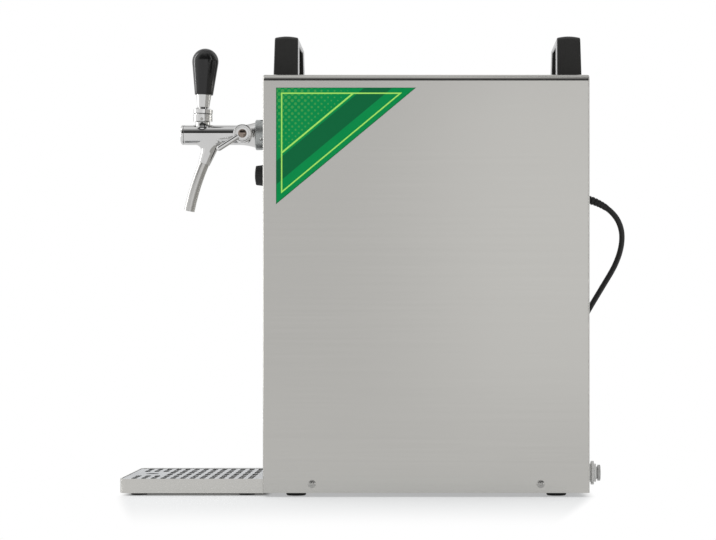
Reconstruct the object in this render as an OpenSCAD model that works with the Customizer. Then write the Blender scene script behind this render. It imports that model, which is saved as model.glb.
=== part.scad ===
// Counter-top draft beer cooler: a folded steel casing, a compensator tap, a loose drip tray, two carry
// handles, a push-fit beer inlet and a mains cord. Millimetres. Z is up and the tap faces -Y. The origin is
// on the floor, under the middle of the object without its cord.

/* [Casing] */
// Width of the casing
body_w = 213; // [205:1:230]
// Depth of the casing
body_d = 327; // [320:1:350]
// Height of the casing's top above the floor
body_top = 423; // [418:1:440]
// Thickness of the folded steel sheet
sheet_t = 1; // [0.8:0.1:1.4]
// Outer bend radius of the casing's top edges
casing_bend = 7; // [3:0.5:8]
// Width of the edges folded in at the casing's front and rear
casing_return = 9; // [6:0.5:12]
// Height of the base pan's upturned edges
pan_edge_h = 30; // [28:1:36]
// Height of the rubber feet
foot_h = 4; // [3.5:0.5:7]
// Diameter of the rubber feet
foot_d = 20; // [18:1:24]
// Distance of a foot's centre from the casing's front or rear edge
foot_inset = 32; // [28:1:40]

/* [Fasteners] */
// Shank diameter of the sheet screws
m4_d = 4; // [3.5:0.1:4.5]
// Head diameter of the sheet screws
m4_head_d = 8; // [7:0.5:9]
// Length of the sheet screws under the head
m4_len = 7; // [5:0.5:9]
// Shank diameter of the machine screws
m5_d = 5; // [4:0.1:6]
// Head diameter of the machine screws
m5_head_d = 9; // [8:0.5:11]
// Length of the machine screws under the head
m5_len = 20; // [18:1:24]
// Distance of a side screw from the casing's front or rear edge
side_screw_inset = 49; // [44:1:56]

/* [Carry handles] */
// Length of a carry handle
handle_l = 138; // [120:1:150]
// Width of a carry handle at its base
handle_w = 25; // [20:1:30]
// Height of a carry handle above the casing
handle_h = 44.5; // [38:0.5:55]
// Length of a handle's post
handle_post = 26; // [22:1:30]
// Thickness of a handle's grip bar
handle_bar = 7; // [6:0.5:12]
// Distance that a handle's ends lean inwards
handle_lean = 13; // [4:0.5:16]
// Distance of the front handle's middle from the casing's front edge
front_handle_inset = 20.5; // [20:0.5:30]
// Distance of the rear handle's middle from the casing's rear edge
rear_handle_inset = 18; // [17.5:0.5:30]

/* [Label] */
// Length of the label's upper edge
label_l = 140; // [80:1:180]
// Length of the label's front edge
label_h = 116.5; // [60:0.5:160]
// Distance of the label from the casing's front edge
label_inset = 13.3; // [10:0.1:30]
// Distance of the label from the casing's top
label_drop = 13.6; // [10:0.1:30]

/* [Tap] */
// Height of the tap's axis
tap_z = 371; // [360:1:375]
// Outer diameter of the coupling ring
ring_d = 31.6; // [31:0.1:36]
// Length of the coupling ring
ring_l = 15; // [14:0.5:18]
// Diameter of the tap's barrel
barrel_d = 21; // [20:0.5:24]
// Distance from the lever to the tap's front end
nose_l = 22.8; // [20:0.1:30]
// Distance from the casing's front edge to the lever
lever_reach = 70.5; // [70:0.5:73]
// Backward lean of the closed lever in degrees
lever_lean = 2.5; // [0:0.5:4]
// Largest diameter of the handle grip
grip_d = 27.5; // [24:0.5:34]
// Length of the handle grip
grip_l = 48.7; // [42:0.1:70]
// Outer diameter of the spout tube
spout_d = 11; // [10:0.1:11.6]
// Bend radius of the spout tube
spout_bend = 258; // [200:1:320]
// Distance from the casing's front edge to the compensator's spindle
spindle_reach = 27.5; // [27:0.1:28]
// Diameter of the compensator lever's hub
hub_d = 19.7; // [17:0.1:22]
// Length of the compensator lever from its spindle
comp_lever_l = 31.5; // [24:0.5:40]
// Angle of the compensator lever below the level in degrees
comp_lever_drop = 32.5; // [20:0.5:40]

/* [Thermostat] */
// Diameter of the thermostat knob
knob_d = 22; // [18:0.5:30]
// Height of the thermostat knob's axis
knob_z = 328.6; // [320:0.1:332]
// Distance from the casing's front edge to the knob's face
knob_reach = 16; // [14:0.5:20]

/* [Beer inlet] */
// Distance of the inlet's axis from the casing's side
inlet_inset = 36.5; // [32.5:0.5:40.5]
// Height of the inlet's axis
inlet_z = 22; // [20:0.5:28]
// Diameter of the inlet's flange
inlet_flange_d = 24; // [22:0.1:27]
// Diameter of the inlet's body
inlet_body_d = 18.4; // [18.2:0.1:20]
// Distance that the inlet stands out behind the casing
inlet_proud = 13; // [12.5:0.5:16]
// Outer diameter of the beer line that the inlet takes
line_d = 9.5; // [8:0.5:10]

/* [Drip tray] */
// Width of the drip tray
tray_w = 178; // [150:1:200]
// Length of the drip tray
tray_l = 145.5; // [130:0.5:170]
// Height of the tray's rim above the floor
tray_top = 17; // [14:0.5:20]
// Height of the pads under the tray
pad_h = 2.5; // [2:0.5:4]
// Radius of the tray's front corners
tray_corner = 9; // [6:0.5:14]
// Length of the grid's slots
slot_l = 23; // [16:0.5:24]
// Width of the grid's slots
slot_w = 5.5; // [3.5:0.5:6]
// Distance between slots along the tray
slot_pitch = 9.85; // [8.5:0.05:10.5]

/* [Mains cord] */
// Diameter of the cord
cord_d = 6; // [5:0.1:6]

/* [Hidden] */
$fn = 64;
eps = 0.01;

// Clearances: a shaft in its bore, a fixed round fit, two moving bodies, two flat sheets, a brazed joint
run_clear = 0.05;
fit_clear = 0.1;
slide_clear = 0.3;
panel_gap = 0.2;
joint_gap = 0.1;

// Main planes
tray_gap = 0.5;
depth_all = tray_l + tray_gap + body_d + inlet_proud;
tray_front = -depth_all / 2;
tray_rear = tray_front + tray_l;
front_y = tray_rear + tray_gap;
rear_y = front_y + body_d;
half_w = body_w / 2;
inner_half_w = half_w - sheet_t - panel_gap;
front_face = front_y + sheet_t + panel_gap;
front_back = front_face + sheet_t;
rear_face = rear_y - sheet_t - panel_gap;
rear_back = rear_face - sheet_t;
pan_t = 1.2;
pan_z = foot_h;
pan_floor = pan_z + pan_t;
casing_under = body_top - sheet_t;
panel_bend = casing_bend - sheet_t;

// Screws
m4_head_h = 2;
m5_head_h = 3.2;
m4_hole = m4_d + 2 * fit_clear;
m5_hole = m5_d + 2 * fit_clear;
side_screw_z = pan_z + 9;
edge_screw_z = pan_z + pan_edge_h - 7;
front_screw_x = inner_half_w - 25;
rear_screw_x = half_w - inlet_inset - inlet_flange_d / 2 - m4_head_d - 6;
foot_web = 1.4;
foot_x = half_w - 26;
clinch_wall = 2;
clinch_h = 4;

// Cooling compartment: shelf, insulation and block
shelf_z = 190;
shelf_top = shelf_z + pan_t;
shelf_edge_h = 16;
shelf_screw_z = shelf_top + shelf_edge_h / 2;
ins_wall = 25;
ins_side = 16;
ins_front = front_back + 57;
ins_rear = rear_back - 46;
ins_half_w = inner_half_w - 10;
ins_top = casing_under - 10;
foam_gap = 0.3;
block_front = ins_front + ins_wall;
block_rear = ins_rear - ins_wall;
block_half_w = ins_half_w - ins_side;
block_z0 = shelf_top + ins_wall;
block_z1 = ins_top - ins_wall;

// Beer hoses and the stubs that they push onto
inlet_x = half_w - inlet_inset;
hose_bore = line_d + 2 * fit_clear;
hose_d = line_d + 3.2;
stub_l = 14;
inlet_riser_y = rear_back - 34;
inlet_block_z = 240;
hose_bend = 14;

// Machine compartment
comp_x = -15;
comp_y = front_back + 72;
comp_d = 118;
comp_base_z = pan_floor + clinch_h + 10;
comp_plate_t = 3;
comp_z0 = comp_base_z + comp_plate_t + 4;
comp_z1 = 160;
comp_bolt = [56, 30];
grommet_d = 18;
grommet_waist_d = 12;
grommet_cap = 4;
cond_x0 = 11.5 - half_w;
cond_x1 = 35;
cond_y = rear_back - 30;
cond_z0 = 45;
cond_depth = 36;
row_pitch = 22;
row_count = 6;
tube_d = 6;
fin_t = 0.8;
fin_pitch = 8;
cond_half = (cond_x1 - cond_x0) / 2;
fan_x = (cond_x0 + cond_x1) / 2;
fan_z = cond_z0 + cond_half;
fan_r = cond_half - 9;
fan_front = cond_y - 70;
fan_depth = 20;
fan_hub_d = 36;
motor_d = 60;
motor_l = 30;
motor_shaft_d = 5;
duct_y = fan_front + fan_depth + 2;
pipe_x = 50;
riser_x = comp_x + comp_d / 2 + 18;
suction_d = 8;
suction_y = block_front + 25;
suction_z = 110;
discharge_z = 125;
capillary_d = 3;
drier_d = 18;
drier_x = 48;
drier_l = 70;
drier_front = cond_y - 24 - drier_l;
capillary_y = drier_front - 15;

// Thermostat
bushing_d = 10;
shaft_d = 6;
knob_cover = 3;
thermo_w = 38;
thermo_h = 30;
thermo_depth = 28;
bulb_d = 6;
bulb_l = 40;
bulb_x = 10;
bulb_z = knob_z - 40;
bulb_line_d = 2.4;

// Tap, along its axis ahead of the casing's front edge
panel_reach = front_y - front_face;
shank_d = 18;
shank_bore = 8;
collar_end = 7.2;
gasket_gap = 0.3;
ring_wall = 1.3;
ring_bore = ring_d - 2 * ring_wall;
ring_lip = 3;
ring_hole_d = 3.4;
ring_hole_reach = 8.4;
ring_turn = -21;
neck_flange_d = ring_bore - 0.8;
flare_d = ring_bore - 2;
flare_end = ring_l + 16;
chamber_d = barrel_d - 6.4;
seat_reach = 47;
seat_l = 3;
seat_d = 9;
valve_bore = barrel_d - 6;
cap_l = 3.3;
spigot_l = 5.5;
tap_reach = lever_reach + nose_l;
barrel_end = tap_reach - cap_l;

// Lever and its pivot above the tap's axis
pivot_h = barrel_d / 2 + 5.5;
neck_d = 15;
neck_top = barrel_d / 2 + 3.4;
neck_screw_d = 5.2;
neck_screw_h = neck_top - 3.9;
bonnet_d = 20.2;
dome_r = 11.2;
skirt_r = dome_r + 0.5;
skirt_z = 6.2;
skirt_h = 10.8;
lever_ball_d = 11;
stem_d = 6;
pin_d = 3;
finger_d = 3.2;
finger_l = 13;
finger_ball_d = 5;
lever_swing = 28;
slot_clear = 0.5;
ball_bore_d = lever_ball_d + 2 * slot_clear;
finger_bore = 9.3;
finger_shift = 1.25;
ferrule_z = 12.9;
ferrule_l = 12.8;
ferrule_d0 = 12.4;
ferrule_d1 = 15.8;
grip_z = ferrule_z + ferrule_l + joint_gap;
grip_base_d = 19.2;

// Spout branch, in the plane of the tap
branch_end = [lever_reach - 1.2, -30.3];
branch_tilt = 23;
branch_l = 26;
branch_d0 = 15.7;
branch_d1 = 12.5;
spout_seat = 7;
spout_wall = 1;
spout_end_tilt = 11.5;
web_w = 10;

// Compensator
spindle_d = 9;
throw = 3;
throw_pin_d = 2.8;
throw_slot = throw_pin_d + 1;
cone_d = chamber_d - 2 * slide_clear;
cone_flat = cone_d / 2 - 1.2;
boss_x = 15;
hub_x = boss_x + slide_clear;
hub_t = 5;
comp_rod_d = 5.8;
comp_screw_d = 9;

// Beer inlet, along +Y from the rear panel's face
union_flange_t = 2.6;
union_shoulder = 5;
union_rim = 1.9;
union_thread_d = 15.6;
union_inside = 13;
nut_t = 5;
collet_d = 16.2;
collet_t = 2.5;
collet_gap = 1.8;
collet_tail_d = 12.4;
collet_seat_l = 5;
socket_l = 9;
union_end = rear_y + inlet_proud - collet_t - collet_gap;

// Drip tray
tray_wall = 1;
tray_ledge = 4;
grid_t = 0.8;
grid_drop = 0.4;
grid_gap = 0.5;
slot_rows = 6;
slot_row_pitch = 27.5;
slot_cols = 13;
blank_cols = 3;
lift_hole_d = 14;
pad_d = 16;
tongue_x = 55;
tongue_w = 20;
tongue_z = pad_h + 6.5;
pad_inset = 18;

// Cord: gland face, hand-chosen route from it, and the coil that holds the rest of the length
gland_x = -40;
gland_z = 305;
gland_proud = 5;
gland_d = 12;
terminal_drop = 32;
terminal_half = [22, 9];
cord_exit = [gland_x, rear_face + gland_proud, gland_z];
cord_route = [
  [0, 0, 0], [0, 7, 0], [0, 19, -5], [-1, 29, -12], [-4, 36.5, -21], [-10, 41, -32], [-18, 42, -44],
  [-28, 40, -57], [-39, 35, -71], [-50, 27, -86], [-60, 18, -102], [-69, 8, -120], [-76, -1, -139],
  [-81, -9, -160], [-84, -15, -183], [-86, -20, -207], [-87, -27, -231], [-88, -36, -254],
  [-88, -48, -274], [-88, -63, -290], [-88, -80, -299], [-88, -98, -301]
];
cord_sides = 8;
coil_r = 47;
coil_turns = 7;
coil_gap = 0.7;
coil_tail = 20;
coil_step = cord_d + coil_gap;
coil_rings = 24;
coil_sides = 6;
cord_end = cord_exit + cord_route[len(cord_route) - 1];
coil_c = [cord_end.x - coil_r, cord_end.y - cord_d, cord_end.z];
tie_t = 0.6;
tie_w = 6;
tie_gap = 0.3;
plug_d = 37;
plug_top = 24;
plug_base = 0.3;
plug_relief_l = 34;
plug_pin_d = 4.8;
plug_pin_l = 19;
plug_pin_x = 9.5;

// Points of an arc about a centre, from one angle to another
function arc(c, r, a0, a1, n = 10) =
  [for (i = [0 : n]) c + r * [cos(a0 + (a1 - a0) * i / n), sin(a0 + (a1 - a0) * i / n)]];

function unit(v) = v / norm(v);

// A rod along Y between two places
module rod_y(d, y0, y1) translate([0, y0, 0]) rotate([-90, 0, 0]) cylinder(d = d, h = y1 - y0);

// A rod along X between two places
module rod_x(d, x0, x1) translate([x0, 0, 0]) rotate([0, 90, 0]) cylinder(d = d, h = x1 - x0);

// A box between two corners
module block(a, b) translate(a) cube(b - a);

// A copy on each side of the middle
module both_sides() for (s = [0, 1]) mirror([s, 0, 0]) children();

// The casing's front view: square below, with rounded upper corners
module arch(half, bottom, top, r) {
  translate([-half, bottom]) square([2 * half, top - r - bottom]);
  translate([-half + r, bottom]) square([2 * (half - r), top - bottom]);
  for (s = [-1, 1]) translate([s * (half - r), top - r]) circle(r);
}

// An upright plate from a front view, between two depths
module upright(y0, y1) translate([0, y1, 0]) rotate([90, 0, 0]) linear_extrude(y1 - y0) children();

// A slot with round ends along X
module slot(l, w) {
  square([l - w, w], center = true);
  for (s = [-1, 1]) translate([s * (l - w) / 2, 0]) circle(d = w);
}

// The tap's frame: its own Z runs forward from the casing's front edge and its own Y runs up
module tap_frame() translate([0, front_y, tap_z]) rotate([90, 0, 0]) children();

// The lever's frame: at the pivot, leaning as the closed lever does
module lever_frame()
  translate([0, front_y - lever_reach, tap_z + pivot_h]) rotate([-lever_lean, 0, 0]) children();

// A round section, hollow if it has a bore
module section(d, bore) difference() {
  circle(d = d);
  if (bore > 0) circle(d = bore);
}

// A round pipe through corner points, with every corner bent to one radius
module pipe(points, d, bend, bore = 0) {
  last = len(points) - 1;
  for (i = [0 : last - 1]) {
    a = points[i];
    b = points[i + 1];
    u = unit(b - a);
    start = i == 0 ? a : a + u * corner_cut(points, i, bend);
    stop = i + 1 == last ? b : b - u * corner_cut(points, i + 1, bend);
    along(start, stop) linear_extrude(norm(stop - start)) section(d, bore);
  }
  if (last > 1) for (i = [1 : last - 1])
    pipe_corner(points[i - 1], points[i], points[i + 1], bend) section(d, bore);
}

// Length that a corner's bend takes from each of its runs
function corner_cut(points, i, bend) =
  bend * tan(acos(unit(points[i] - points[i - 1]) * unit(points[i + 1] - points[i])) / 2);

// One bent corner of a pipe
module pipe_corner(a, b, c, bend) {
  u = unit(b - a);
  v = unit(c - b);
  turn = acos(u * v);
  out = -unit(v - (u * v) * u);
  centre = b - u * bend * tan(turn / 2) - out * bend;
  n = cross(out, u);
  multmatrix([
    [out.x, u.x, n.x, centre.x],
    [out.y, u.y, n.y, centre.y],
    [out.z, u.z, n.z, centre.z],
    [0, 0, 0, 1]
  ]) rotate_extrude(angle = turn) translate([bend, 0]) children();
}

// Turns the Z axis onto the line between two points
module along(a, b) {
  u = unit(b - a);
  translate(a) rotate([0, acos(u.z), atan2(u.y, u.x)]) children();
}

// Screws, head upward, seated at the origin
module sheet_screw() difference() {
  union() {
    translate([0, 0, -m4_len]) cylinder(d = m4_d, h = m4_len);
    cylinder(d1 = m4_head_d, d2 = m4_head_d * 0.7, h = m4_head_h);
  }
  for (a = [0, 90]) rotate(a) translate([-m4_head_d * 0.28, -0.5, m4_head_h / 2])
    cube([m4_head_d * 0.56, 1, m4_head_h]);
}

module machine_screw() difference() {
  union() {
    translate([0, 0, -m5_len]) cylinder(d = m5_d, h = m5_len);
    cylinder(d = m5_head_d, h = m5_head_h);
  }
  translate([0, 0, m5_head_h / 2]) cylinder(d = m5_head_d / 2, h = m5_head_h, $fn = 6);
}

// Places of the screws
module at_side_screws() both_sides() for (y = [front_y + side_screw_inset, rear_y - side_screw_inset])
  translate([half_w, y, side_screw_z]) rotate([0, 90, 0]) children();

module at_front_screws() both_sides() for (z = [edge_screw_z, shelf_screw_z])
  translate([front_screw_x, front_face, z]) rotate([90, 0, 0]) children();

module at_rear_screws() both_sides() for (z = [edge_screw_z, shelf_screw_z])
  translate([rear_screw_x, rear_face, z]) rotate([-90, 0, 0]) children();

module at_feet() both_sides() for (y = [front_y + foot_inset, rear_y - foot_inset])
  translate([foot_x, y, 0]) children();

module at_handle_screws() both_sides() for (y = [front_y + front_handle_inset, rear_y - rear_handle_inset])
  translate([(handle_l - handle_post) / 2, y, casing_under]) mirror([0, 0, 1]) children();

module at_compressor_bolts() for (sx = [-1, 1], sy = [-1, 1])
  translate([comp_x + sx * comp_bolt.x, comp_y + sy * comp_bolt.y, 0]) children();

module base_pan() color("lightgray") difference() {
  union() {
    difference() {
      block([-inner_half_w, front_back + panel_gap, pan_z],
            [inner_half_w, rear_back - panel_gap, pan_z + pan_edge_h]);
      block([-inner_half_w + pan_t, front_back + panel_gap + pan_t, pan_floor],
            [inner_half_w - pan_t, rear_back - panel_gap - pan_t, pan_z + pan_edge_h + 1]);
    }
    at_feet() translate([0, 0, pan_z]) cylinder(d = m4_hole + 2 * clinch_wall, h = pan_t + clinch_h);
    at_compressor_bolts() translate([0, 0, pan_z])
      cylinder(d = m5_hole + 2 * clinch_wall, h = pan_t + clinch_h);
  }
  at_feet() cylinder(d = m4_hole, h = pan_floor + clinch_h + 1);
  at_compressor_bolts() translate([0, 0, pan_floor]) cylinder(d = m5_hole, h = clinch_h + 1);
  at_side_screws() translate([0, 0, -m4_len - 1]) cylinder(d = m4_hole, h = m4_len + 1);
  at_front_screws() translate([0, 0, -m4_len - 1]) cylinder(d = m4_hole, h = m4_len + 1);
  at_rear_screws() translate([0, 0, -m4_len - 1]) cylinder(d = m4_hole, h = m4_len + 1);
  inlet_half = inlet_flange_d / 2 + 5;
  block([inlet_x - inlet_half, rear_back - 3, inlet_z - inlet_half / 1.2],
        [inlet_x + inlet_half, rear_back + 1, pan_z + pan_edge_h + 1]);
}

module panel_blank(y0, y1)
  upright(y0, y1) arch(inner_half_w, pan_z + panel_gap, casing_under - panel_gap, panel_bend);

module front_panel() color("silver") difference() {
  panel_blank(front_face, front_back);
  at_front_screws() translate([0, 0, -sheet_t - 1]) cylinder(d = m4_hole, h = sheet_t + 2);
  translate([0, 0, tap_z]) rod_y(shank_d + 2 * fit_clear, front_face - 1, front_back + 1);
  translate([0, 0, knob_z]) rod_y(bushing_d + 2 * fit_clear, front_face - 1, front_back + 1);
  tongue_half = tongue_w / 2 + slide_clear;
  both_sides() block([tongue_x - tongue_half, front_face - 1, tongue_z - slide_clear],
                     [tongue_x + tongue_half, front_back + 1, tongue_z + tray_wall + slide_clear]);
}

module rear_panel() color("silver") difference() {
  panel_blank(rear_back, rear_face);
  at_rear_screws() translate([0, 0, -sheet_t - 1]) cylinder(d = m4_hole, h = sheet_t + 2);
  translate([inlet_x, 0, inlet_z]) rod_y(union_thread_d + 2 * fit_clear, rear_back - 1, rear_face + 1);
  translate([gland_x, 0, gland_z]) rod_y(gland_d + 2 * fit_clear, rear_back - 1, rear_face + 1);
  upright(rear_back - 1, rear_face + 1) for (i = [0 : 9], x = [fan_x - 32, fan_x + 32])
    translate([x, cond_z0 + 12 + 12 * i]) slot(54, 5);
}

module casing_wrap() color("silver") difference() {
  union() {
    upright(front_y, rear_y) difference() {
      arch(half_w, pan_z, body_top, casing_bend);
      arch(half_w - sheet_t, pan_z - 1, casing_under, casing_bend - sheet_t);
    }
    for (y = [front_y, rear_y - sheet_t]) upright(y, y + sheet_t) difference() {
      arch(half_w, pan_z, body_top, casing_bend);
      arch(half_w - casing_return, pan_z - 1, body_top - casing_return, 1);
    }
  }
  at_side_screws() translate([0, 0, -sheet_t - 1]) cylinder(d = m4_hole, h = sheet_t + 2);
  at_handle_screws() translate([0, 0, -sheet_t - 1]) cylinder(d = m5_hole, h = sheet_t + 2);
}

module sheet_screws() color("gainsboro") {
  at_side_screws() sheet_screw();
  at_front_screws() sheet_screw();
  at_rear_screws() sheet_screw();
  at_feet() translate([0, 0, foot_h - foot_web]) mirror([0, 0, 1]) sheet_screw();
}

module machine_screws() color("dimgray") {
  at_handle_screws() machine_screw();
  at_compressor_bolts() translate([0, 0, comp_base_z + comp_plate_t + grommet_cap]) machine_screw();
}

module rubber_feet() color("black") at_feet() difference() {
  union() {
    cylinder(d1 = foot_d - 2, d2 = foot_d, h = 1);
    translate([0, 0, 1]) cylinder(d = foot_d, h = foot_h - 1);
  }
  translate([0, 0, -1]) cylinder(d = m4_hole, h = foot_h + 2);
  translate([0, 0, -1]) cylinder(d = m4_head_d + 1, h = foot_h - foot_web + 1);
}

// A bridge handle along X, standing at the origin
module carry_handle() {
  round_out = 5;
  round_in = 5;
  half = handle_l / 2;
  gap = half - handle_post;
  slope = handle_lean / handle_h;
  lean = atan(slope);
  under = handle_h - handle_bar;
  out_at = [half - slope * (handle_h - round_out) - round_out / cos(lean), handle_h - round_out];
  in_at = [gap - slope * (under - round_in) - round_in / cos(lean), under - round_in];
  crown = 1.2;
  top_w = handle_w - 1.1;
  difference() {
    intersection() {
      translate([0, handle_w, 0]) rotate([90, 0, 0]) linear_extrude(2 * handle_w) polygon(concat(
        [[gap, 0], [half, 0]],
        arc(out_at, round_out, lean, 90),
        arc([-out_at.x, out_at.y], round_out, 90, 180 - lean),
        [[-half, 0], [-gap, 0]],
        arc([-in_at.x, in_at.y], round_in, 180 - lean, 90),
        arc(in_at, round_in, 90, lean)
      ));
      rotate([90, 0, 90]) linear_extrude(handle_l + 2, center = true) polygon(concat(
        [[-handle_w / 2, 0], [handle_w / 2, 0], [top_w / 2, handle_h - crown - 1]],
        [for (a = [-10 : 2 : 10]) [-(top_w / 2 - 0.8) * a / 10, handle_h - crown * pow(a / 10, 2)]],
        [[-top_w / 2, handle_h - crown - 1]]
      ));
    }
    both_sides() translate([half - handle_post / 2, 0, -1]) cylinder(d = m5_hole, h = m5_len + 2);
  }
}

module front_carry_handle() color([0.13, 0.13, 0.13])
  translate([0, front_y + front_handle_inset, body_top]) carry_handle();

module rear_carry_handle() color([0.13, 0.13, 0.13])
  translate([0, rear_y - rear_handle_inset, body_top]) carry_handle();

module side_label() color([0, 0.45, 0.22])
  translate([half_w, front_y + label_inset, body_top - label_drop]) rotate([90, 0, 90])
    linear_extrude(0.3) polygon([[0, 0], [label_l, 0], [0, -label_h]]);

// Compressor: a welded can with two pipe stubs
module compressor_shell() color([0.08, 0.08, 0.09]) {
  r = comp_d / 2;
  crown = 22;
  mid = (comp_z0 + comp_z1) / 2;
  translate([comp_x, comp_y, 0]) {
    rotate_extrude() polygon(concat(
      [[0, comp_z0]],
      [for (a = [-90 : 10 : 0]) [r - crown + crown * cos(a), comp_z0 + crown + crown * sin(a)]],
      [[r, mid - 3], [r + 3, mid - 3], [r + 3, mid + 3], [r, mid + 3]],
      [for (a = [0 : 10 : 90]) [r - crown + crown * cos(a), comp_z1 - crown + crown * sin(a)]],
      [[0, comp_z1]]
    ));
    translate([0, 0, suction_z]) rod_x(suction_d, r - 4, r + 8);
    translate([0, 0, discharge_z]) rod_y(tube_d, r - 6, r + 8);
    translate([0, 0, comp_base_z + comp_plate_t]) cylinder(d = comp_d - 30, h = 10);
  }
}

module compressor_base() color("dimgray") difference() {
  margin = 14;
  translate([comp_x, comp_y, comp_base_z])
    linear_extrude(comp_plate_t) square(2 * (comp_bolt + [margin, margin]), center = true);
  at_compressor_bolts() translate([0, 0, comp_base_z - 1])
    cylinder(d = grommet_waist_d, h = comp_plate_t + 2);
}

module compressor_grommets() color("black") at_compressor_bolts() difference() {
  union() {
    translate([0, 0, pan_floor + clinch_h]) cylinder(d = grommet_d, h = comp_base_z - pan_floor - clinch_h);
    translate([0, 0, comp_base_z]) cylinder(d = grommet_waist_d - 2 * fit_clear, h = comp_plate_t);
    translate([0, 0, comp_base_z + comp_plate_t]) cylinder(d = grommet_d, h = grommet_cap);
  }
  cylinder(d = m5_hole, h = comp_base_z + comp_plate_t + grommet_cap + 1);
}

// Condenser: one tube bent to and fro through a stack of fins
row_z = [for (i = [0 : row_count - 1]) cond_z0 + 12 + row_pitch * (row_count - 1 - i)];
cond_stub_x = cond_x1 + 7;

module condenser_coil() color([0.72, 0.45, 0.2]) {
  bend_out = 4;
  pipe(concat(
    [[cond_stub_x, cond_y, row_z[0]]],
    [for (i = [0 : row_count - 2], k = [0, 1])
      [i % 2 == 0 ? cond_x0 + bend_out : cond_x1 - bend_out, cond_y, row_z[i + k]]],
    [[cond_stub_x, cond_y, row_z[row_count - 1]]]
  ), tube_d, row_pitch / 2 - 1);
}

module condenser_fins() color("silver") {
  fin_x0 = cond_x0 + 18;
  fin_n = floor((cond_x1 - cond_x0 - 36) / fin_pitch);
  top = row_z[0] + row_pitch / 2;
  for (i = [0 : fin_n]) translate([fin_x0 + i * fin_pitch, cond_y, 0]) difference() {
    block([0, -cond_depth / 2, cond_z0], [fin_t, cond_depth / 2, top]);
    for (z = row_z) translate([0, 0, z]) rod_x(tube_d + 2 * run_clear, -1, fin_t + 1);
  }
}

// Fan: a shroud plate with arms that carry the motor
module fan_shroud() color("dimgray") {
  half = cond_half;
  plate_t = 2;
  foot_z = pan_floor;
  arm = fan_r + 5;
  translate([fan_x, 0, fan_z]) {
    difference() {
      block([-half, duct_y, foot_z - fan_z], [half, duct_y + plate_t, half]);
      rod_y(2 * (fan_r + 3), duct_y - 1, duct_y + plate_t + 1);
    }
    for (sx = [-1, 1]) {
      block([sx * half - (sx > 0 ? plate_t : 0), duct_y, -half],
            [sx * half + (sx > 0 ? 0 : plate_t), cond_y - cond_depth / 2 - 1, half]);
    }
    difference() {
      union() {
        for (a = [45 : 90 : 315]) rotate([0, a, 0]) {
          block([motor_d / 2 - 3, fan_front - 6, -4], [arm + 8, fan_front - 3, 4]);
          block([arm, fan_front - 6, -4], [arm + 8, duct_y + eps, 4]);
        }
        rod_y(motor_d + 6, fan_front - 6, fan_front - 3);
      }
      rod_y(motor_d + 2 * fit_clear, fan_front - 20, fan_front - 2);
    }
  }
}

module fan_motor() color([0.1, 0.1, 0.1]) translate([fan_x, 0, fan_z]) {
  rod_y(motor_d, fan_front - 3 - motor_l, fan_front - 3);
  rod_y(motor_shaft_d, fan_front - 4, fan_front + fan_depth - 3);
}

module fan_rotor() color("gainsboro") translate([fan_x, 0, fan_z]) difference() {
  blade_t = 1.6;
  chord = 26;
  union() {
    rod_y(fan_hub_d, fan_front, fan_front + fan_depth);
    intersection() {
      rod_y(2 * fan_r, fan_front, fan_front + fan_depth);
      for (i = [0 : 4]) rotate([0, 72 * i, 0]) translate([0, fan_front + fan_depth / 2, 0])
        translate([fan_hub_d / 2 - 3, 0, 0]) rotate([35, 0, 0])
          translate([0, -blade_t / 2, -chord / 2]) cube([fan_r, blade_t, chord]);
    }
  }
  rod_y(motor_shaft_d + 2 * run_clear, fan_front - 1, fan_front + fan_depth - 2);
}

// Refrigerant pipes
module filter_drier() color([0.72, 0.45, 0.2]) {
  neck = 8;
  z = row_z[row_count - 1];
  translate([drier_x, 0, z]) {
    rod_y(drier_d, drier_front + neck, drier_front + drier_l - neck);
    rod_y(tube_d, drier_front, drier_front + drier_l);
  }
  pipe([[drier_x, drier_front + drier_l - eps, z], [drier_x, cond_y, z],
        [cond_stub_x + joint_gap, cond_y, z]], tube_d, 4);
}

module discharge_pipe() color([0.72, 0.45, 0.2]) {
  y0 = comp_y + comp_d / 2 + 8 + joint_gap;
  y1 = y0 + 0.35 * (fan_front - motor_l - y0);
  z0 = discharge_z;
  pipe([[comp_x, y0, z0], [comp_x, y1, z0], [pipe_x, y1, z0], [pipe_x, cond_y, z0],
        [pipe_x, cond_y, row_z[0]], [cond_stub_x + joint_gap, cond_y, row_z[0]]], tube_d, 6);
}

module capillary_pipe() color([0.72, 0.45, 0.2]) {
  z = row_z[row_count - 1];
  pipe([[drier_x, drier_front - joint_gap, z], [drier_x, capillary_y, z], [riser_x, capillary_y, z],
        [riser_x, capillary_y, block_z0 - joint_gap]], capillary_d, 5);
}

module suction_pipe() color([0.72, 0.45, 0.2])
  pipe([[comp_x + comp_d / 2 + 8 + joint_gap, comp_y, suction_z], [riser_x, comp_y, suction_z],
        [riser_x, suction_y, suction_z], [riser_x, suction_y, block_z0 - joint_gap]], suction_d, 8);

// Cold block with the stubs of its cast-in beer coil, and the foam around it
module cooling_block() color("silver") difference() {
  union() {
    block([-block_half_w, block_front, block_z0], [block_half_w, block_rear, block_z1]);
    translate([0, 0, tap_z]) rod_y(line_d, block_front - stub_l, block_front + 1);
    translate([inlet_x, 0, inlet_block_z]) rod_y(line_d, block_rear - 1, block_rear + stub_l);
  }
  translate([bulb_x, 0, bulb_z]) rod_y(bulb_d + 2 * fit_clear, block_front - 1, block_front + bulb_l + 2);
}

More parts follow.
